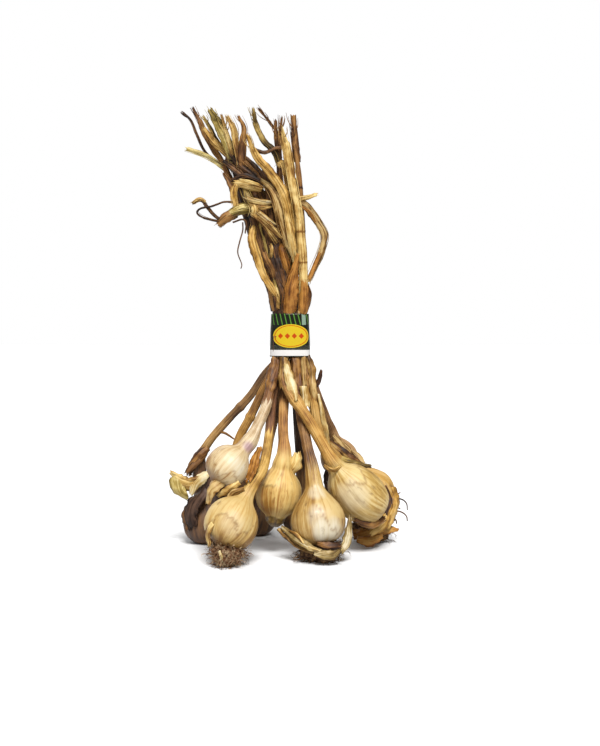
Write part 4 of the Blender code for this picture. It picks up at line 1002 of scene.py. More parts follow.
def dry_leaf_material(name, codes, roughness=0.45):
    """Dried leaf and stalk fibre: matt, ribbed along its length, with darker veins and stains."""
    material, tree, shader, made = new_material(name, ("fibre", "tint", "edge"), LEAF_NOISES, {
        "light": (-1.6, {"tint": 0.35, "ribs": 1.3, "bands": 1.5, "patches": 1.5, "edge": -0.38}),
        "rough": (roughness, {"bands": 0.2}),
    })
    stops = tuple(zip(LEAF_PLACES, codes))
    colour = add_node(tree, "ShaderNodeValToRGB", {"Fac": made["light"]}, stops).outputs["Color"]
    bump = add_node(
        tree, "ShaderNodeBump", {"Height": made["ribs"], "Strength": 0.6, "Distance": 0.5 * MM},
    )
    linked = {"Base Color": colour, "Normal": bump.outputs[0], "Roughness": made["rough"]}
    finish_shader(tree, shader, linked, {"Specular IOR Level": 0.2})
    return material


def root_material(name, codes):
    """Dried root hair and crumbled skin: matt brown, spotted with pale straw."""
    noises = {"clumps": ("place", (230.0, 230.0, 230.0), 4.0, 0.6)}
    material, tree, shader, made = new_material(name, (), noises, {})
    stops = tuple(zip(ROOT_PLACES, codes))
    colour = add_node(tree, "ShaderNodeValToRGB", {"Fac": made["clumps"]}, stops).outputs["Color"]
    fixed = {"Roughness": 0.75, "Specular IOR Level": 0.15}
    finish_shader(tree, shader, {"Base Color": colour}, fixed)
    return material


# The label's print, step by step: a step's name, its operation and what it works on. Across and
# up are millimetres along the film from the middle of its front and from its bottom edge, and
# front is 1 on the front and 0 at the back.
PRINT_STEPS = (
    # An oval panel, 39 mm wide and 23 mm high, with a line inside its edge
    ("x", "MULTIPLY_ADD", "across", 1 / 19.5, -1.0 / 19.5),
    ("y", "MULTIPLY_ADD", "up", 1 / 11.6, -20.5 / 11.6),
    ("y_squared", "MULTIPLY", "y", "y"),
    ("ring", "MULTIPLY_ADD", "x", "x", "y_squared"),
    ("oval", "LESS_THAN", "ring", 1.0),
    ("panel", "MULTIPLY", "oval", "front"),
    ("oval_line", "COMPARE", "ring", 0.78, 0.045),
    ("line", "MULTIPLY", "oval_line", "front"),
    # A row of diamonds in the middle of the panel
    ("shifted", "ADD", "across", 2.6),
    ("beside", "PINGPONG", "shifted", 3.6),
    ("above", "SUBTRACT", "up", 20.5),
    ("away", "ABSOLUTE", "above"),
    ("diamond", "ADD", "beside", "away"),
    ("diamonds", "LESS_THAN", "diamond", 2.8),
    ("middle", "LESS_THAN", "ring", 0.6),
    ("diamond_row", "MULTIPLY", "diamonds", "middle"),
    ("row", "MULTIPLY", "diamond_row", "front"),
    # Slanted stripes in the upper part of the field, and a wide pale band of painted glare
    ("slant", "MULTIPLY_ADD", "up", 0.25, "across"),
    ("slant_step", "PINGPONG", "slant", 2.4),
    ("slanted", "LESS_THAN", "slant_step", 0.55),
    ("upper_part", "GREATER_THAN", "up", 31.5),
    ("stripes", "MULTIPLY", "slanted", "upper_part"),
    ("wide", "COMPARE", "across", 15.0, 2.2),
    ("glare_front", "MULTIPLY", "wide", "front"),
    ("painted_glare", "MULTIPLY", "glare_front", "upper_part"),
    # Fine rows of dots in the lower part
    ("dot_across", "PINGPONG", "across", 0.6),
    ("dot_up", "PINGPONG", "up", 0.6),
    ("dot_columns", "LESS_THAN", "dot_across", 0.22),
    ("dot_rows", "LESS_THAN", "dot_up", 0.22),
    ("dot_grid", "MULTIPLY", "dot_columns", "dot_rows"),
    ("lower_part", "LESS_THAN", "up", 11.0),
    ("dots", "MULTIPLY", "dot_grid", "lower_part"),
    # The plain strip at the bottom
    ("strip", "COMPARE", "up", 3.9, 2.9),
)


def label_material(settings):
    """Printed film: inks under a glossy clear coat, with a plain strip at the bottom and a band of
    painted glare.
    """
    noises = {"creases": ("place", (120.0, 120.0, 60.0), 3.0, 0.55)}
    material, tree, shader, made = new_material("printed_film", ("print",), noises, {})
    parts = add_node(tree, "ShaderNodeSeparateXYZ", {0: made["print"]})
    for key, output in zip(("across", "up", "front"), parts.outputs):
        made[key] = output
    for key, operation, *inputs in PRINT_STEPS:
        inputs = {i: made.get(value, value) for i, value in enumerate(inputs)}
        made[key] = add_node(tree, "ShaderNodeMath", inputs, operation=operation).outputs[0]
    colour = tuple(settings.field)
    for share, ink in (
        ("stripes", settings.stripes),
        # Painted highlight: a pale grey-green band where light glares on the upper film.
        ("painted_glare", linear("#8fa793")),
        ("dots", linear("#8d8f80")),
        ("panel", settings.panel),
        ("line", settings.ornament),
        ("row", settings.ornament),
        ("strip", settings.strip),
    ):
        mixed = add_node(
            tree, "ShaderNodeMix",
            {MIX_SHARE: made[share], MIX_UNDER: colour, MIX_OVER: tuple(ink)}, data_type="RGBA",
        )
        colour = mixed.outputs[MIX_RESULT]
    bump = add_node(
        tree, "ShaderNodeBump", {"Height": made["creases"], "Strength": 0.35, "Distance": 0.6 * MM},
    )
    fixed = {
        "Roughness": 0.3, "Specular IOR Level": 0.15, "Coat Weight": 0.12, "Coat Roughness": 0.12,
    }
    finish_shader(tree, shader, {"Base Color": colour, "Normal": bump.outputs[0]}, fixed)
    return material


def smooth_path(points):
    """A dense smooth curve through the points, as an array, and the length run up to each."""
    knots = np.array(points, float)
    before = np.vstack([knots[:1], knots[:-1]])
    after = np.vstack([knots[1:], knots[-1:]])
    slopes = after - before
    slopes /= np.linalg.norm(slopes, axis=1)[:, None]
    share = np.linspace(0.0, 1.0, PATH_POINTS_PER_SPAN)[:, None]
    curve = [knots[:1]]
    for i in range(len(knots) - 1):
        third = np.linalg.norm(knots[i + 1] - knots[i]) / 3
        leave = knots[i] + slopes[i] * third
        arrive = knots[i + 1] - slopes[i + 1] * third
        span = (
            (1 - share) ** 3 * knots[i] + 3 * (1 - share) ** 2 * share * leave
            + 3 * (1 - share) * share**2 * arrive + share**3 * knots[i + 1]
        )
        curve.append(span[1:])
    curve = np.vstack(curve)
    pieces = np.linalg.norm(np.diff(curve, axis=0), axis=1)
    return curve, np.concatenate([[0.0], np.cumsum(pieces)])


def along_path(path, run):
    """Points and directions on the path at the given lengths."""
    curve, length = path
    points = np.stack([np.interp(run, length, curve[:, axis]) for axis in range(3)], axis=1)
    ahead = np.stack([np.interp(run + 1.0, length, curve[:, axis]) for axis in range(3)], axis=1)
    behind = np.stack([np.interp(run - 1.0, length, curve[:, axis]) for axis in range(3)], axis=1)
    ways = ahead - behind
    return points, ways / np.linalg.norm(ways, axis=1)[:, None]


def carried_sides(ways):
    """Two directions across the path at each of its points, carried along without twist."""
    side = np.array(Vector(ways[0]).orthogonal().normalized())
    sides = []
    for way in ways:
        side = side - way * side.dot(way)
        side = side / np.linalg.norm(side)
        sides.append(side)
    sides = np.array(sides)
    return sides, np.cross(ways, sides)


def noise_at(points):
    """Smooth noise about zero at each point of an array."""
    values = [noise.noise(Vector(point)) for point in points.reshape(-1, 3)]
    return np.array(values).reshape(points.shape[:-1])


def smoothed(values, reach):
    """The values, each blended with those up to the given number of places away."""
    kernel = np.hanning(2 * reach + 3)[1:-1]
    padded = np.concatenate([np.full(reach, values[0]), values, np.full(reach, values[-1])])
    return np.convolve(padded, kernel / kernel.sum(), mode="valid")


def smoothstep(values, low, high):
    """0 up to low, 1 from high on, and a smooth rise between them."""
    share = np.clip((values - low) / (high - low), 0.0, 1.0)
    return share * share * (3 - 2 * share)


def grid_faces(rows, columns, closed):
    """Four-sided faces of a grid of points; closed joins its last column to its first."""
    last = columns if closed else columns - 1
    row, column = np.meshgrid(np.arange(rows - 1), np.arange(last), indexing="ij")
    following = (column + 1) % columns
    a = row * columns + column
    b = row * columns + following
    return np.stack([a, b, b + columns, a + columns], axis=-1).reshape(-1, 4)


def tube_faces(rows, around):
    """Faces of a tube of rings with both ends closed."""
    faces = [tuple(face) for face in grid_faces(rows, around, closed=True)]
    faces.append(tuple(range(around))[::-1])
    faces.append(tuple(range((rows - 1) * around, rows * around)))
    return faces


def ring_around(ways, around, depth_share=1.0):
    """A ring's angles, and at each place of a path the directions out to the ring's points."""
    sides, others = carried_sides(ways)
    angle = np.linspace(0.0, 2 * math.pi, around, endpoint=False)
    outward = (
        sides[:, None, :] * np.cos(angle)[None, :, None]
        + others[:, None, :] * (depth_share * np.sin(angle))[None, :, None]
    )
    return angle, outward


def fibre_coordinates(angle, radius, run):
    """Where points lie on a straight round rod, so that ribs follow the length of a bent one."""
    ring = np.stack([np.cos(angle), np.sin(angle)], axis=1) * radius
    rows = len(run)
    around = len(angle)
    return np.concatenate([
        np.broadcast_to(ring[None], (rows, around, 2)),
        np.broadcast_to(run[:, None, None], (rows, around, 1)),
    ], axis=2)


def add_object(name, data):
    """A new object in the scene for a mesh, a light or a camera."""
    obj = bpy.data.objects.new(name, data)
    bpy.context.scene.collection.objects.link(obj)
    return obj


def make_object(name, points, faces, attributes, material):
    """A mesh object in the model's own frame, from points in millimetres about the axis."""
    mesh = bpy.data.meshes.new(name)
    placed = (np.asarray(points, float).reshape(-1, 3) + np.array(AXIS)) * MM
    mesh.from_pydata(placed.tolist(), [], [tuple(face) for face in faces])
    for key, values in attributes.items():
        values = np.asarray(values, np.float32)
        kind = "FLOAT_VECTOR" if values.shape[-1] == 3 and values.ndim > 1 else "FLOAT"
        layer = mesh.attributes.new(key, kind, "POINT")
        layer.data.foreach_set("vector" if kind == "FLOAT_VECTOR" else "value", values.reshape(-1))
    shape = bmesh.new()
    shape.from_mesh(mesh)
    bmesh.ops.recalc_face_normals(shape, faces=shape.faces)
    shape.to_mesh(mesh)
    shape.free()
    mesh.shade_smooth()
    mesh.materials.append(material)
    return add_object(name, mesh)


def settle(obj, nodes, slot):
    """Says what the piece rides on and which solids it stands for; the slot is not used."""
    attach(obj, "root")
    if nodes:
        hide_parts(*nodes)


def as_seen(points):
    """Points of the front view, each moved along its line of sight to its own depth."""
    placed = []
    for across, depth, up in points:
        nearness = 1 + depth / -VIEW_POINT.y
        seen = Vector((across, 0.0, up))
        placed.append(tuple(VIEW_POINT + (seen - VIEW_POINT) * nearness))
    return placed


def plant_line(plant):
    """A plant's middle line, its stub's length, and how far along its bulb and its neck are."""
    bulb = Vector(plant["bulb"])
    neck = Vector(plant["neck"])
    root_end = bulb + (neck - bulb).normalized() * ROOT_SHARE * plant["radius"]
    root = Vector(plant.get("root", root_end))
    stub_end = root + (root - bulb).normalized() * max(plant["stub"], SHORTEST_STUB)
    column, row = plant["slot"]
    across = SLOT_COLUMNS[column] * SLOT_PITCH_X
    deep = SLOT_ROWS[row] * SLOT_PITCH_Y
    inside = [
        (across, deep, height)
        for height in (LABEL_BOTTOM - ENTRY_REACH, LABEL_BOTTOM + ENTRY_REACH, STALK_END)
    ]
    path = smooth_path([stub_end, root, bulb, neck, *plant["stalk"], *inside])
    span = PATH_POINTS_PER_SPAN - 1
    return path, (root - stub_end).length, float(path[1][2 * span]), float(path[1][3 * span])


def plant_radii(plant, line, run, heights):
    """A plant's radius at each length along its line: root, bulb, neck and gathered stalk."""
    path, stub, to_bulb, to_neck = line
    radius = plant["radius"]
    places = [0.0]
    sizes = [radius * STUB_TIP_SHARE]
    least = 0.0
    if plant["stub"] > BARE_NUB_ABOVE:
        least = NUB_SHARE
        places += [place for place, share in NUB_OUTLINE]
        sizes += [radius * share for place, share in NUB_OUTLINE]
    for share, size in plant.get("outline", BULB_OUTLINE):
        size = max(size, least)
        place = to_bulb + (share / -ROOT_SHARE * (to_bulb - stub) if share < 0 else share * radius)
        if places[-1] < place < to_neck - OUTLINE_STOPS_BEFORE_NECK:
            places.append(place)
            sizes.append(max(radius * size, plant["neck_radius"] if share > 0 else 0.0))
    places += [to_neck, to_neck + NECK_LENGTH, float(path[1][-1])]
    sizes += [plant["neck_radius"], plant["stalk_radius"] * NECK_SWELL, plant["stalk_radius"]]
    size = smoothed(np.interp(run, places, sizes), SMOOTHING_REACH)
    gathered = smoothstep(heights, LABEL_BOTTOM - GATHERED_BELOW_LABEL, LABEL_BOTTOM - GATHERED_BY)
    size = size * (1 - gathered) + np.minimum(size, SLOT_STALK_RADIUS) * gathered
    for height, bulge in plant["joints"]:
        near = np.exp(-(((heights - height) / JOINT_REACH) ** 2)) * (run > to_neck)
        size = size + bulge * near
    return size


def plant_mesh(plant, settings, seed):
    """The skin of one plant from its root to inside the label: points, faces and attributes."""
    line = plant_line(plant)
    path, stub, to_bulb, to_neck = line
    run = np.arange(0.0, float(path[1][-1]), settings.ring_step)
    centres, ways = along_path(path, run)
    heights = centres[:, 2]
    size = plant_radii(plant, line, run, heights)
    angle, outward = ring_around(ways, settings.around)
    fibre = fibre_coordinates(angle, PLANT_FIBRE_RADIUS, run)
    shift = seed * 1.7

    def fibre_noise(around_scale, along_scale, start):
        """Noise that is drawn out along the plant."""
        return noise_at(fibre * np.array([around_scale, around_scale, along_scale]) + start)

    fullness = np.clip((size - plant["neck_radius"]) / plant["radius"], 0.0, 1.0)[:, None]
    stem = smoothstep(run, to_neck - STEM_STARTS_BEFORE_NECK, to_neck + STEM_FULL_AFTER_NECK)[:, None]
    cloves = FEWEST_CLOVES + seed % 3
    warp = 0.35 * np.sin(angle * 2 + shift)
    groove = (1 - np.abs(np.sin((angle + warp) * cloves / 2))) ** GROOVE_SHARPNESS
    base = centres[:, None, :] + outward * size[:, None, None]
    lump = LUMP_SHARE * noise_at(base / LUMP_SIZE)
    ridges = fibre_noise(0.34, 0.02, shift)
    fine = fibre_noise(0.9, 0.05, shift * 2)
    near_neck = np.exp(-(((run - to_neck) / NECK_RIDGES_REACH) ** 2))[:, None]
    reach = size[:, None] * (1 + (lump - settings.clove_depth * groove[None, :]) * fullness)
    reach = reach + settings.wrinkle * (0.7 + 1.8 * near_neck + 1.3 * stem) * ridges
    reach = reach + settings.wrinkle * (0.35 + 0.8 * near_neck + 0.9 * stem) * fine
    # The outermost skin has torn away in places, and stands a little above the next.
    share = np.clip((run - to_bulb) / max(to_neck - to_bulb, 1.0), -1.2, 3.0)[:, None]
    rim = 0.15 + 0.5 * np.sin(angle + shift)[None, :] + 0.28 * np.sin(3 * angle + shift * 2)[None, :]
    rim = rim + 0.16 * fibre_noise(0.5, 0.06, shift * 3)
    outer = smoothstep(share - rim, -RIM_SOFTNESS, RIM_SOFTNESS)
    reach = reach + LAYER_STEP * outer * fullness
    points = centres[:, None, :] + outward * reach[..., None]
    points[..., 2] = np.maximum(points[..., 2], PLANT_FLOOR)

    row_of_ones = np.ones((1, len(angle)))
    # Painted light: the side of the bulb that faces the plant's given direction is painted lighter and
    # the far side darker, as if lit from there. The outer, torn layer also differs in its own colour from
    # the one below.
    lit_from = np.array(Vector(plant["lit_side_and_layer"]))
    lit_side_and_layer = outward @ lit_from * 0.8 + 0.35 * (outer - 0.5) * np.clip(fullness * 3, 0, 1)
    rim_line = np.exp(-(((share - rim) / RIM_LINE_WIDTH) ** 2)) * np.clip(fullness * 4, 0, 1)
    # A bare root nub ends in a sharp, wavy line, and the root end of another bulb in a soft one.
    has_nub = plant["stub"] > BARE_NUB_ABOVE
    nub_end = NUB_LENGTH + NUB_WAVE * np.sin(3 * angle + shift)[None, :]
    end = nub_end if has_nub else stub + ROOT_END_LENGTH
    softness = NUB_EDGE if has_nub else ROOT_END_EDGE
    at_root = smoothstep(-run[:, None], -end, -end + softness) * row_of_ones
    ragged_height = heights[:, None] + UPPER_RAGGED * fibre_noise(0.32, 0.03, shift * 5)
    change_at = plant["upper_from"]
    upper = smoothstep(ragged_height, change_at - UPPER_BLEND, change_at + UPPER_BLEND)
    blush = np.zeros_like(lit_side_and_layer)
    if "blush" in plant:
        away = np.linalg.norm(points - np.array(plant["blush"]), axis=2)
        blush = BLUSH_STRENGTH * np.exp(-((away / BLUSH_REACH) ** 4))
    # Painted highlight: a bright, veined spot round each given place, where light would glint on the
    # skin.
    painted_highlight = np.zeros_like(lit_side_and_layer)
    for *spot, spot_reach, strength in plant.get("painted_highlight", []):
        away = np.linalg.norm(points - np.array(spot), axis=2) / spot_reach
        painted_highlight = np.maximum(painted_highlight, strength * np.clip(1.25 - away * away + 0.7 * ridges, 0.0, 1.0))
    attributes = {
        "fibre": (fibre + shift * 10).reshape(-1, 3),
        "lit_side_and_layer": np.clip(lit_side_and_layer, -MOST_LIT_SIDE_AND_LAYER, MOST_LIT_SIDE_AND_LAYER).reshape(-1),
        "stem": (stem * row_of_ones).reshape(-1),
        "upper": (upper * (run > to_neck)[:, None]).reshape(-1),
        "worn": np.clip(rim_line * RIM_LINE_STRENGTH + at_root, 0.0, 1.0).reshape(-1),
        "blush": blush.reshape(-1),
        "painted_highlight": painted_highlight.reshape(-1),
        "nub": (at_root * has_nub).reshape(-1),
    }
    return points.reshape(-1, 3), tube_faces(len(run), len(angle)), attributes


def sheet_mesh(points, half_widths, facing, fold, settings, seed, ragged):
    """A leaf or torn skin as one open surface: curled across, turned along it, with torn edges."""
    path = smooth_path(points)
    length = float(path[1][-1])
    rows = max(int(length / settings.step), FEWEST_ROWS)
    run = np.linspace(0.0, length, rows)
    centres, ways = along_path(path, run)
    share = run / length
    shift = seed * 3.1
    zeros = np.zeros(rows)
    lateral = np.linspace(-1.0, 1.0, settings.across)

    def wander(scale, start):
        """Slow noise along the leaf."""
        return noise_at(np.stack([run * scale + start, zeros + shift, zeros], axis=1))

    places = np.linspace(0.0, 1.0, len(half_widths))
    half = smoothed(np.interp(share, places, half_widths), SMOOTHING_REACH)
    coordinates = np.stack([
        lateral[None, :] * half[:, None],
        np.full((rows, len(lateral)), shift),
        np.broadcast_to(run[:, None], (rows, len(lateral))),
    ], axis=2)

    def surface_noise(across_scale, along_scale, start=0.0):
        """Noise over the leaf's surface."""
        return noise_at(coordinates * np.array([across_scale, 1.0, along_scale]) + start)

    across = np.cross(ways, np.array(facing, float))
    across /= np.linalg.norm(across, axis=1)[:, None]
    front = np.cross(across, ways)
    turn = (settings.turn * wander(0.035, 5.0))[:, None]
    turned_across = np.cos(turn) * across + np.sin(turn) * front
    front = np.cos(turn) * front - np.sin(turn) * across
    across = turned_across
    centres = centres + front * (SWAY_TO_FRONT * wander(0.05, 11.0))[:, None]
    centres = centres + across * (SWAY_ASIDE * wander(0.06, 17.0))[:, None]
    # One margin of some leaves is folded over to the front.
    hem = HEM_PLACE if seed % 3 == 0 else NO_HEM
    side = -1.0 if seed % 2 else 1.0
    folded = np.clip(lateral * side - hem, 0.0, None)
    position = lateral - 2 * folded * side
    curl = fold * CURL_PER_FOLD * (1 + 0.8 * wander(0.05, 23.0))
    curl = np.clip(curl, LEAST_CURL, MOST_CURL)[:, None]
    width = half[:, None] * curl / np.sin(np.minimum(curl, WIDEST_CURL))
    tears = np.where(lateral < 0, wander(0.22, 0.0)[:, None], wander(0.25, 31.0)[:, None])
    torn_edge = 1 + (0.10 + 0.55 * ragged) * tears
    sideways = width * torn_edge * np.sin(curl * position[None]) / curl
    depth = width * (np.cos(curl * position[None]) - 1) / curl * 0.8
    depth = depth + 0.10 * half[:, None] * (1 - np.abs(position))[None]
    ripple = settings.ripple * 0.6 * surface_noise(0.14, 0.08)
    flutter = settings.ripple * 0.8 * lateral[None, :] ** 2 * surface_noise(0.2, 0.15, 9.0)
    crumple = (0.35 + 1.6 * ragged) * surface_noise(0.30, 0.24, 4.0)
    ribs = RIB_HEIGHT * np.cos(lateral * math.pi * 6)[None, :]
    lifted = HEM_LIFT * np.clip(folded * 6, 0.0, 1.0)[None, :]
    no_length = np.zeros_like(lateral)
    strands = noise_at(np.stack([lateral * 4.5, no_length + shift, no_length], axis=1))[None, :]
    fray = smoothstep(share, 0.80, 1.0)[:, None] * (2.5 + 5.0 * ragged) * strands
    surface = (
        centres[:, None, :] + across[:, None, :] * sideways[..., None]
        + front[:, None, :] * (depth + ripple + flutter + crumple + ribs + lifted)[..., None]
        + ways[:, None, :] * fray[..., None]
    )
    surface[..., 2] = np.maximum(surface[..., 2], SHEET_FLOOR)
    tint = math.sin(seed * 12.9) * 0.3 + 0.7 * wander(0.03, 41.0)
    attributes = {
        "fibre": (coordinates + shift * 7).reshape(-1, 3),
        "edge": (np.clip(np.abs(position), 0, 1)[None, :] ** 3 * np.ones((rows, 1))).reshape(-1),
        "tint": (tint[:, None] * np.ones((1, len(lateral)))).reshape(-1),
    }
    return surface.reshape(-1, 3), grid_faces(rows, len(lateral), closed=False), attributes


def rod_mesh(points, radii, seed, around=28, depth_share=0.8, relief=0.45):
    """A dry stalk: a ribbed, slightly flattened rod with closed ends."""
    path = smooth_path(points)
    length = float(path[1][-1])
    run = np.linspace(0.0, length, max(int(length / ROD_STEP), FEWEST_ROWS))
    centres, ways = along_path(path, run)
    size = np.interp(run / length, np.linspace(0, 1, len(radii)), radii)
    size = smoothed(size, SMOOTHING_REACH)
    angle, outward = ring_around(ways, around, depth_share)
    shift = seed * 2.3
    fibre = fibre_coordinates(angle, ROD_FIBRE_RADIUS, run)
    ridges = noise_at(fibre * np.array([0.5, 0.5, 0.02]) + shift)
    zeros = np.zeros(len(run))
    scars = np.zeros(len(run))
    if around >= FEWEST_SIDES_WITH_SCARS:
        for place in SCAR_PLACES:
            away = (run / length - place - 0.05 * math.sin(seed)) * length / SCAR_REACH
            scars += np.exp(-(away ** 2))
        size = size * (1 + 0.09 * noise_at(np.stack([run * 0.05, zeros + shift, zeros], axis=1)))
    reach = size[:, None] + relief * ridges + 0.25 * scars[:, None]
    surface = centres[:, None, :] + outward * reach[..., None]
    attributes = {
        "fibre": (fibre + shift * 5).reshape(-1, 3),
        "edge": (scars[:, None] * 1.6 * np.ones((1, around))).reshape(-1),
        "tint": np.full(len(run) * around, math.sin(seed * 7.7) * 0.4),
    }
    return surface.reshape(-1, 3), tube_faces(len(run), around), attributes


def fibre_mesh(points, radii, seed):
    """A loose fibre of a leaf: a thin flat rod with few sides."""
    return rod_mesh(points, radii, seed, around=FIBRE_SIDES, depth_share=0.5, relief=0.05)


def leaf_fibres(points, half_width, draw, seed):
    """Fibres of one leaf: two run along it near its edges, and a tip that points up is frayed."""
    spots = [Vector(point) for point in points]
    fibres = []
    for edge in (-0.8, 0.7):
        beside = Vector((edge * half_width, -1.2, 0.0))
        shift = Vector((draw.uniform(-1.0, 1.0), draw.uniform(-0.8, 0.8), draw.uniform(-2.0, 2.0)))
        line = [spot + beside + shift for spot in spots]
        fibres.append(fibre_mesh(line, [0.2, 0.5, 0.4, 0.2], seed))
    if spots[-1].z > FRAYED_ABOVE:
        way = spots[-1] - spots[-2]
        for i in range(FRAYED_FIBRES):
            lean = Vector((draw.uniform(-1, 1), draw.uniform(-1, 1), draw.uniform(-0.3, 0.3)))
            lean = lean * 0.3 * way.length
            start = spots[-2] + way * draw.uniform(0.1, 0.5)
            end = start + way * draw.uniform(0.5, 0.75) + lean
            middle = (start + end) / 2 + lean * 0.3
            fibres.append(fibre_mesh([start, middle, end], [0.7, 0.55, 0.2], seed + i))
    return fibres


def joined(meshes):
    """Several meshes as one: points, faces and attributes in a row."""
    points, faces, attributes = [], [], {}
    start = 0
    for some_points, some_faces, some_attributes in meshes:
        points.append(some_points)
        faces += [tuple(int(i) + start for i in face) for face in some_faces]
        for key, values in some_attributes.items():
            attributes.setdefault(key, []).append(values)
        start += len(some_points)
    return np.vstack(points), faces, {key: np.concatenate(values) for key, values in attributes.items()}


def add_thickness(obj, thickness):
    """Gives an open surface a wall, half of it on each side."""
    solid = obj.modifiers.new("thickness", "SOLIDIFY")
    solid.thickness = thickness
    solid.offset = 0.0


def lumpy_core(name, mat, material):
    """The crumbled middle of a mat: a lumpy ball that lies on the floor."""
    shape = bmesh.new()
    bmesh.ops.create_icosphere(shape, subdivisions=5, radius=1.0)
    centre, half = Vector(mat["centre"]), Vector(mat["half"])
    for vertex in shape.verts:
        point = Vector([vertex.co[axis] * half[axis] for axis in range(3)])
        coarse = noise.noise((centre + point) / 9.0)
        fine = noise.noise((centre + point) / 3.0)
        lump = 0.92 + 0.32 * coarse + 0.12 * fine
        spot = centre + point * lump + AXIS
        vertex.co = Vector((spot.x, spot.y, max(spot.z, MAT_FLOOR))) * MM
    mesh = bpy.data.meshes.new(name)
    shape.to_mesh(mesh)
    shape.free()
    mesh.shade_smooth()
    mesh.materials.append(material)
    return add_object(name, mesh)


def hair_tree(material):
    """Root hairs on a mat: curved, tapered hairs stand on its surface and are then tangled."""
    tree = bpy.data.node_groups.new("root_hairs", "GeometryNodeTree")
    sockets = {}
    face = tree.interface
    face.new_socket("Geometry", in_out="INPUT", socket_type="NodeSocketGeometry")
    for name in ("Density", "Length", "Thickness"):
        sockets[name] = face.new_socket(name, in_out="INPUT", socket_type="NodeSocketFloat")
    sockets["Seed"] = face.new_socket("Seed", in_out="INPUT", socket_type="NodeSocketInt")
    face.new_socket("Geometry", in_out="OUTPUT", socket_type="NodeSocketGeometry")
    given = add_node(tree, "NodeGroupInput").outputs
    spread = add_node(tree, "GeometryNodeDistributePointsOnFaces", {
        "Mesh": given["Geometry"], "Density": given["Density"], "Seed": given["Seed"],
    })
    tip = add_node(tree, "ShaderNodeCombineXYZ", {"Z": given["Length"]})
    bend = add_node(tree, "ShaderNodeVectorMath", {
        0: tip.outputs[0], 1: (0.0, 0.0, 0.55), 2: (2.4 * MM, 0.0, 0.0),
    }, operation="MULTIPLY_ADD")
    curve = add_node(tree, "GeometryNodeCurveQuadraticBezier", {
        "Resolution": 6, "Start": (0.0, 0.0, 0.0), "Middle": bend.outputs[0], "End": tip.outputs[0],
    })
    along = add_node(tree, "GeometryNodeSplineParameter")
    thin = add_node(tree, "ShaderNodeMath", {
        0: along.outputs["Factor"], 1: -0.7, 2: 1.0,
    }, operation="MULTIPLY_ADD")
    radius = add_node(tree, "ShaderNodeMath", {
        0: thin.outputs[0], 1: given["Thickness"],
    }, operation="MULTIPLY")
    sized = add_node(tree, "GeometryNodeSetCurveRadius", {
        "Curve": curve.outputs[0], "Radius": radius.outputs[0],
    })
    ring = add_node(tree, "GeometryNodeCurvePrimitiveCircle", {"Resolution": 3, "Radius": 1.0})
    hair = add_node(tree, "GeometryNodeCurveToMesh", {
        "Curve": sized.outputs[0], "Profile Curve": ring.outputs["Curve"],
        "Scale": radius.outputs[0], "Fill Caps": True,
    })
    turn = add_node(tree, "FunctionNodeRandomValue", {
        0: (-0.9, -0.9, 0.0), 1: (0.9, 0.9, 6.28), "Seed": given["Seed"],
    }, data_type="FLOAT_VECTOR")
    lean = add_node(tree, "FunctionNodeRotateEuler", {
        "Rotation": spread.outputs["Rotation"], "Rotate By": turn.outputs["Value"],
    }, rotation_type="EULER", space="LOCAL")
    size = add_node(tree, "FunctionNodeRandomValue", {
        2: 0.45, 3: 1.25, "Seed": given["Seed"],
    }, data_type="FLOAT")
    placed = add_node(tree, "GeometryNodeInstanceOnPoints", {
        "Points": spread.outputs["Points"], "Instance": hair.outputs[0],
        "Rotation": lean.outputs[0], "Scale": size.outputs[1],
    })
    real = add_node(tree, "GeometryNodeRealizeInstances", {"Geometry": placed.outputs[0]})
    where = add_node(tree, "GeometryNodeInputPosition")
    tangle = add_node(tree, "ShaderNodeTexNoise", {
        "Vector": where.outputs[0], "Scale": 170.0, "Detail": 1.0,
    })
    offset = add_node(tree, "ShaderNodeVectorMath", {
        0: tangle.outputs["Color"], 1: (0.5, 0.5, 0.5),
    }, operation="SUBTRACT")
    offset = add_node(tree, "ShaderNodeVectorMath", {
        0: offset.outputs[0], "Scale": 11.0 * MM,
    }, operation="SCALE")
    moved = add_node(tree, "GeometryNodeSetPosition", {
        "Geometry": real.outputs[0], "Offset": offset.outputs[0],
    })
    dressed = add_node(tree, "GeometryNodeSetMaterial", {
        "Geometry": moved.outputs[0], "Material": material,
    })
    add_node(tree, "NodeGroupOutput", {0: dressed.outputs[0]})
    return tree, {name: socket.identifier for name, socket in sockets.items()}


def grown_mesh(name, source, tree, identifiers, values, material):
    """A plain mesh object of what the tree makes on the source."""
    modifier = source.modifiers.new("grow", "NODES")
    modifier.node_group = tree
    for key, value in values.items():
        modifier[identifiers[key]] = value
    bpy.context.view_layer.update()
    graph = bpy.context.evaluated_depsgraph_get()
    mesh = bpy.data.meshes.new_from_object(source.evaluated_get(graph))
    source.modifiers.remove(modifier)
    for vertex in mesh.vertices:
        vertex.co.z = max(vertex.co.z, HAIR_FLOOR * MM)
    mesh.name = name
    mesh.materials.clear()
    mesh.materials.append(material)
    return add_object(name, mesh)


class GARLIC_OT_plants(bpy.types.Operator):
    """Makes the eleven plants from root to label"""

    bl_idname = "garlic.plants"
    bl_label = "Make Plants"

    def execute(self, context):
        settings = context.scene.garlic_bulbs
        for seed, (node, plant) in enumerate(PLANTS.items()):
            material = dry_skin_material(node + "_dry_skin", plant)
            points, faces, attributes = plant_mesh(plant, settings, seed)
            obj = make_object("garlic" + node[5:], points, faces, attributes, material)
            settle(obj, [node], plant["slot_name"])
        return {"FINISHED"}


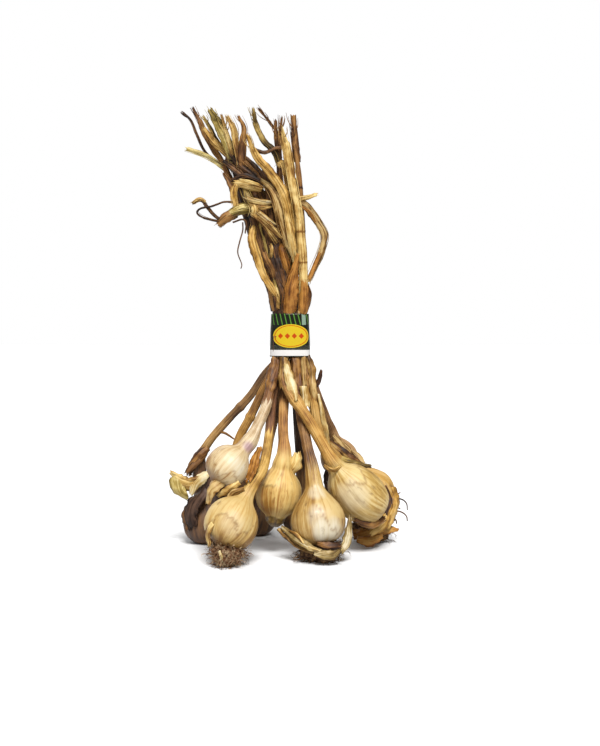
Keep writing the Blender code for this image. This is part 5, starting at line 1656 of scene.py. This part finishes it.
class GARLIC_OT_sheets(bpy.types.Operator):
    """Makes the torn skins, scales and sheaths, one piece for each finish"""

    bl_idname = "garlic.sheets"
    bl_label = "Make Torn Skins"

    def execute(self, context):
        settings = context.scene.garlic_leaves
        groups = {}
        for kind, sheets in (("sheets", SHEETS), ("seen_sheets", SEEN_SHEETS)):
            for seed, sheet in enumerate(sheets.values(), FIRST_SEED[kind]):
                finish, points, halves, facing, fold = sheet
                if kind == "seen_sheets":
                    points = as_seen(points)
                mesh = sheet_mesh(points, halves, facing, fold, settings, seed, RAGGED[kind])
                groups.setdefault(finish, []).append(mesh)
        for finish, meshes in groups.items():
            # The shade finish's piece is dark sheets that stand where only shade is seen: painted shade,
            # not skins.
            material = dry_leaf_material("torn_skin_" + finish, FINISHES[finish], 0.4)
            obj = make_object("torn_skins_" + finish, *joined(meshes), material)
            add_thickness(obj, settings.thickness)
            settle(obj, [], "gold_skin")
        return {"FINISHED"}


class GARLIC_OT_roots(bpy.types.Operator):
    """Makes the root mats, their hairs and the bare threads"""

    bl_idname = "garlic.roots"
    bl_label = "Make Roots"

    def execute(self, context):
        settings = context.scene.garlic_roots
        for i, (name, mat) in enumerate(MATS.items()):
            material = root_material(name + "_dried_root", mat["colours"])
            tree, identifiers = hair_tree(material)
            core = lumpy_core(name, mat, material)
            share = 1.0 if mat["colours"] == FRESH_ROOTS else SHADED_ROOTS_DENSITY
            values = {
                "Density": settings.density * share, "Length": settings.length,
                "Thickness": settings.thickness, "Seed": settings.seed + i,
            }
            hairs = grown_mesh(name + "_hairs", core, tree, identifiers, values, material)
            settle(core, [], "dark_skin")
            settle(hairs, [], "dark_skin")
        threads = []
        for seed, (points, radius) in enumerate(THREADS.values()):
            radii = [radius, radius, radius * 0.7]
            thread = rod_mesh(
                as_seen(points), radii, seed, around=THREAD_SIDES, depth_share=1.0, relief=0.05,
            )
            threads.append(thread)
        # Dried fibre of a leaf's edge: a dark hair line that catches little light.
        thread_material = dry_leaf_material("dark_thread", FINISHES["dark"])
        obj = make_object("dry_threads", *joined(threads), thread_material)
        settle(obj, [], "dark_skin")
        return {"FINISHED"}


class GARLIC_OT_tuft(bpy.types.Operator):
    """Makes the stalks and leaves above the label, one piece for each finish, and their core"""

    bl_idname = "garlic.tuft"
    bl_label = "Make Leaf Tuft"

    def execute(self, context):
        settings = context.scene.garlic_leaves
        materials = {}
        for finish, codes in FINISHES.items():
            materials[finish] = dry_leaf_material("dry_leaf_" + finish, codes)
        stalks = {}
        leaves = {}
        draw = np.random.default_rng(FIBRE_SEED)
        for seed, (finish, points, radii) in enumerate(TUFT_STALKS.values()):
            stalks.setdefault(finish, []).append(rod_mesh(as_seen(points), radii, seed))
        for seed, leaf in enumerate(TUFT_LEAVES.values(), FIRST_SEED["leaves"]):
            finish, points, halves, fold = leaf
            seen = as_seen(points)
            mesh = sheet_mesh(seen, halves, (0, -1, 0), fold, settings, seed, RAGGED["leaves"])
            leaves.setdefault(finish, []).append(mesh)
            stalks.setdefault(finish, []).extend(leaf_fibres(seen, max(halves), draw, seed))
        for prefix, groups, thickness in (
            ("tuft_stalks_", stalks, 0.0),
            ("tuft_leaves_", leaves, settings.thickness),
            ("packed_leaves_", packed_leaves(settings), settings.thickness),
        ):
            for finish, meshes in groups.items():
                obj = make_object(prefix + finish, *joined(meshes), materials[finish])
                if thickness:
                    add_thickness(obj, thickness)
                settle(obj, ["leaf_tuft"], "dry_leaf")
        core = make_object("tuft_core", *core_mesh(), materials["dark"])
        settle(core, ["leaf_tuft"], "dry_leaf")
        return {"FINISHED"}


# The leaves that lie on the tuft's core: how many, their finishes in turn, their half widths and
# fold, where they start and end, and how far past the core's top they lean for each millimetre.
PACKED_LEAVES = 26
PACKED_FINISHES = ("dark", "brown", "dark", "olive", "dark", "dark", "brown")
PACKED_HALF_WIDTHS = [2.4, 3.4, 3.6, 3.0, 1.2]
PACKED_FOLD = 0.55
PACKED_START = 236.0
PACKED_START_SPREAD = 10
PACKED_END = 330.0
PACKED_END_SPREAD = 50
PACKED_LEAN = 0.35


def packed_leaves(settings):
    """Leaves that lie on the core all round it, grouped by finish."""
    sections = np.array(CORE_SECTIONS)
    groups = {}
    draw = np.random.default_rng(PACKED_SEED)
    for i in range(PACKED_LEAVES):
        finish = PACKED_FINISHES[i % len(PACKED_FINISHES)]
        start = PACKED_START + PACKED_START_SPREAD * draw.random()
        end = PACKED_END + PACKED_END_SPREAD * draw.random()
        drift = draw.uniform(-0.35, 0.35)
        points = []
        for height in np.linspace(start, end, len(PACKED_HALF_WIDTHS)):
            middle_x, middle_y, half_width, half_depth = (
                float(np.interp(height, sections[:, 0], sections[:, k])) for k in (1, 2, 3, 4)
            )
            over = max(height - sections[-1, 0], 0.0)
            angle = 2 * math.pi * i / PACKED_LEAVES + drift * (height - start) / 100
            stand = 0.6 + 0.9 * draw.random()
            points.append((
                middle_x - over * PACKED_LEAN + (half_width + stand) * math.cos(angle),
                middle_y + (half_depth + stand) * math.sin(angle),
                height,
            ))
        outward = 2 * math.pi * i / PACKED_LEAVES
        facing = (math.cos(outward), math.sin(outward), 0.0)
        seed = FIRST_SEED["packed_leaves"] + i
        ragged = RAGGED["packed_leaves"]
        mesh = sheet_mesh(points, PACKED_HALF_WIDTHS, facing, PACKED_FOLD, settings, seed, ragged)
        groups.setdefault(finish, []).append(mesh)
    return groups


# The tuft's core: its mesh, how square its sections are, and where its ribs start and are full.
CORE_AROUND = 96
CORE_STEP = 1.5
CORE_SMOOTHING_REACH = 4
CORE_SQUARENESS = 2.4
CORE_RIBS_START = 232.0
CORE_RIBS_FULL = 244.0
CORE_TINT = -0.3


def core_mesh():
    """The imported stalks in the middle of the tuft, ribbed along their length."""
    sections = np.array(CORE_SECTIONS)
    heights = np.arange(sections[0, 0], sections[-1, 0], CORE_STEP)
    middle_x, middle_y, half_width, half_depth = (
        smoothed(np.interp(heights, sections[:, 0], sections[:, i]), CORE_SMOOTHING_REACH)[:, None]
        for i in (1, 2, 3, 4)
    )
    angle = np.linspace(0.0, 2 * math.pi, CORE_AROUND, endpoint=False)
    cosine = np.cos(angle)
    sine = np.sin(angle)
    rows = len(heights)
    fibre = fibre_coordinates(angle, CORE_FIBRE_RADIUS, heights)
    coarse = noise_at(fibre * np.array([0.28, 0.28, 0.012]))
    fine = noise_at(fibre * np.array([0.8, 0.8, 0.02]))
    above_label = smoothstep(heights, CORE_RIBS_START, CORE_RIBS_FULL)[:, None]
    ribs = 1 + (0.10 * coarse + 0.04 * fine) * above_label
    fullness = np.abs(cosine) ** CORE_SQUARENESS + np.abs(sine) ** CORE_SQUARENESS
    square = (fullness ** (-1 / CORE_SQUARENESS))[None]
    x = middle_x + half_width * cosine[None] * square * ribs
    y = middle_y + half_depth * sine[None] * square * ribs
    z = np.broadcast_to(heights[:, None], x.shape)
    attributes = {
        "fibre": fibre.reshape(-1, 3),
        "edge": np.zeros(rows * CORE_AROUND),
        "tint": np.full(rows * CORE_AROUND, CORE_TINT),
    }
    points = np.stack([x, y, z], axis=2).reshape(-1, 3)
    return points, tube_faces(rows, CORE_AROUND), attributes


# The label's sleeve: its film, its mesh, its section and the reach of its print.
SLEEVE_WALL = 0.45
SLEEVE_AROUND = 200
SLEEVE_ROWS = 44
SLEEVE_DEPTH_SHARE = 0.765
SLEEVE_SQUARENESS = 4.0
SLEEVE_NARROWING = 1.7
SLEEVE_FOLD_PLACE = -4.0
SLEEVE_FOLD_SLOPE = 0.2
SLEEVE_DENT = 0.35
PRINTED_REACH = 24.0


def sleeve_mesh():
    """The label as a closed sleeve of film, with its print measured along it from its front."""
    angle = np.linspace(0.0, 2 * math.pi, SLEEVE_AROUND, endpoint=False) + math.pi / 2
    cosine = np.cos(angle)
    sine = np.sin(angle)
    square_x = np.sign(cosine) * np.abs(cosine) ** (2 / SLEEVE_SQUARENESS)
    square_y = np.sign(sine) * np.abs(sine) ** (2 / SLEEVE_SQUARENESS)
    heights = np.linspace(LABEL_BOTTOM, LABEL_TOP, SLEEVE_ROWS)
    rise = (heights - LABEL_BOTTOM) / (LABEL_TOP - LABEL_BOTTOM)
    width = (LABEL_HALF_WIDTH - SLEEVE_NARROWING * rise)[:, None]
    layers = []
    for inset in (0.0, SLEEVE_WALL):
        x = (width - inset) * square_x[None]
        y = (width * SLEEVE_DEPTH_SHARE - inset) * square_y[None]
        z = np.broadcast_to(heights[:, None], x.shape)
        # The left of the front bends back along a fold.
        bend = np.clip(SLEEVE_FOLD_PLACE - x, 0.0, None) * SLEEVE_FOLD_SLOPE * (y < 0)
        dent = SLEEVE_DENT * noise_at(np.stack([x / 9, y / 9, z / 14], axis=2))
        y = y + bend + dent
        x = x - dent * 0.6 * np.sign(x)
        layers.append(np.stack([x, y, z], axis=2))
    outer, inner = layers
    surface = np.concatenate([outer, inner[::-1]], axis=0)
    ring = outer[0, :, :2]
    steps = np.linalg.norm(np.diff(ring, axis=0, append=ring[:1]), axis=1)
    girth = np.concatenate([[0.0], np.cumsum(steps)[:-1]])
    front = int(np.argmin(ring[:, 1] + np.abs(ring[:, 0]) * 0.01))
    across = girth - girth[front]
    across = (across + girth[-1] / 2) % girth[-1] - girth[-1] / 2
    up = np.concatenate([heights - LABEL_BOTTOM, heights[::-1] - LABEL_BOTTOM])
    size = (2 * SLEEVE_ROWS, SLEEVE_AROUND)
    printed = np.stack([
        np.broadcast_to(across[None], size),
        np.broadcast_to(up[:, None], size),
        np.broadcast_to((np.abs(across) < PRINTED_REACH)[None].astype(float), size),
    ], axis=2)
    faces = [tuple(face) for face in grid_faces(*size, closed=True)]
    last = (2 * SLEEVE_ROWS - 1) * SLEEVE_AROUND
    for j in range(SLEEVE_AROUND):
        following = (j + 1) % SLEEVE_AROUND
        faces.append((last + j, last + following, following, j))
    return surface.reshape(-1, 3), faces, {"print": printed.reshape(-1, 3)}


class GARLIC_OT_label(bpy.types.Operator):
    """Makes the printed label round the stalks"""

    bl_idname = "garlic.label"
    bl_label = "Make Label"

    def execute(self, context):
        material = label_material(context.scene.garlic_label)
        obj = make_object("label_sleeve", *sleeve_mesh(), material)
        settle(obj, ["label_band"], "label_paper")
        return {"FINISHED"}


# The stage: the floor, in metres, where each light comes from and how many degrees of the sky
# it fills, and the camera, whose lens makes one pixel one millimetre at the bunch's own distance
# in a picture that is so many pixels high.
FLOOR_HALF = 30.0
KEY_FROM = (0.15, -1.0, 1.3)
KEY_SOFTNESS = 22.0
BACK_FROM = (-0.6, 1.0, 0.9)
BACK_SOFTNESS = 60.0
SENSOR_WIDTH = 36.0
PHOTO_HEIGHT = 746.0
CLIP_END = 20.0


def distant_light(name, come_from, softness, strength):
    """A sun that shines from a direction and fills the given degrees of the sky."""
    data = bpy.data.lights.new(name, "SUN")
    data.energy = strength
    data.angle = math.radians(softness)
    light = add_object(name, data)
    light.rotation_euler = (-Vector(come_from)).to_track_quat("-Z", "Y").to_euler()


class GARLIC_OT_stage(bpy.types.Operator):
    """Makes the floor, the surroundings, the lights and the camera"""

    bl_idname = "garlic.stage"
    bl_label = "Make Stage"

    def execute(self, context):
        settings = context.scene.garlic_stage
        # Matt white paper: it keeps the shadows under the bulbs pale and mirrors nothing.
        material = bpy.data.materials.new("white_floor")
        material.use_nodes = True
        tree = material.node_tree
        paper = {"Base Color": (0.64, 0.64, 0.64, 1.0), "Roughness": 0.9}
        finish_shader(tree, tree.nodes["Principled BSDF"], {}, paper)
        mesh = bpy.data.meshes.new("white_floor")
        corners = [(x * FLOOR_HALF, y * FLOOR_HALF, 0.0) for x, y in ((-1, -1), (1, -1), (1, 1), (-1, 1))]
        mesh.from_pydata(corners, [], [(0, 1, 2, 3)])
        mesh.materials.append(material)
        floor = add_object("white_floor", mesh)

        # A white studio: it looks pure white behind the bunch, and lights it by a share of that.
        world = bpy.data.worlds.new("pale_surroundings")
        world.use_nodes = True
        tree = world.node_tree
        background = tree.nodes["Background"]
        seen = add_node(tree, "ShaderNodeLightPath").outputs["Is Camera Ray"]
        strength = add_node(
            tree, "ShaderNodeMath", {0: seen, 1: 1.0 - settings.sky, 2: settings.sky},
            operation="MULTIPLY_ADD",
        )
        white = {"Color": (1.0, 1.0, 1.0, 1.0)}
        finish_shader(tree, background, {"Strength": strength.outputs[0]}, white)
        context.scene.world = world
        distant_light("key_light", KEY_FROM, KEY_SOFTNESS, settings.key)
        distant_light("back_light", BACK_FROM, BACK_SOFTNESS, settings.fill)

        camera_data = bpy.data.cameras.new("camera")
        camera_data.sensor_width = SENSOR_WIDTH
        camera_data.lens = SENSOR_WIDTH * -VIEW_POINT.y / PHOTO_HEIGHT
        camera_data.clip_end = CLIP_END
        camera = add_object("camera", camera_data)
        eye = (VIEW_POINT + AXIS) * MM
        target = (VIEW_AIM + AXIS) * MM
        camera.location = eye
        camera.rotation_euler = (target - eye).to_track_quat("-Z", "Y").to_euler()
        context.scene.camera = camera
        context.scene.view_settings.view_transform = "Standard"
        return {"FINISHED"}


class GARLIC_PT_panel(bpy.types.Panel):
    """Lists the steps that make the bunch"""

    bl_idname = "GARLIC_PT_panel"
    bl_label = "Garlic Bunch"
    bl_space_type = "VIEW_3D"
    bl_region_type = "UI"
    bl_category = "Garlic"

    def draw(self, context):
        for group in ("garlic_bulbs", "garlic_leaves", "garlic_roots", "garlic_label", "garlic_stage"):
            box = self.layout.box()
            settings = getattr(context.scene, group)
            for key in settings.bl_rna.properties.keys():
                if key not in ("rna_type", "name"):
                    box.prop(settings, key)
        for step in STEPS:
            self.layout.operator(step.bl_idname)


STEPS = (
    GARLIC_OT_plants, GARLIC_OT_sheets, GARLIC_OT_roots, GARLIC_OT_tuft, GARLIC_OT_label,
    GARLIC_OT_stage,
)
SETTINGS = {
    "garlic_bulbs": GarlicBulbSettings,
    "garlic_leaves": GarlicLeafSettings,
    "garlic_roots": GarlicRootSettings,
    "garlic_label": GarlicLabelSettings,
    "garlic_stage": GarlicStageSettings,
}
CLASSES = (*SETTINGS.values(), *STEPS, GARLIC_PT_panel)


def register():
    """Adds the classes to Blender and the settings to its scenes."""
    for cls in CLASSES:
        bpy.utils.register_class(cls)
    for name, cls in SETTINGS.items():
        setattr(bpy.types.Scene, name, PointerProperty(type=cls))


def unregister():
    """Takes the settings and the classes away again."""
    for name in SETTINGS:
        delattr(bpy.types.Scene, name)
    for cls in reversed(CLASSES):
        bpy.utils.unregister_class(cls)


def main():
    """Makes the bunch and its stage."""
    register()
    bpy.ops.garlic.plants()
    bpy.ops.garlic.sheets()
    bpy.ops.garlic.roots()
    bpy.ops.garlic.tuft()
    bpy.ops.garlic.label()
    bpy.ops.garlic.stage()


if __name__ == "__main__":
    main()
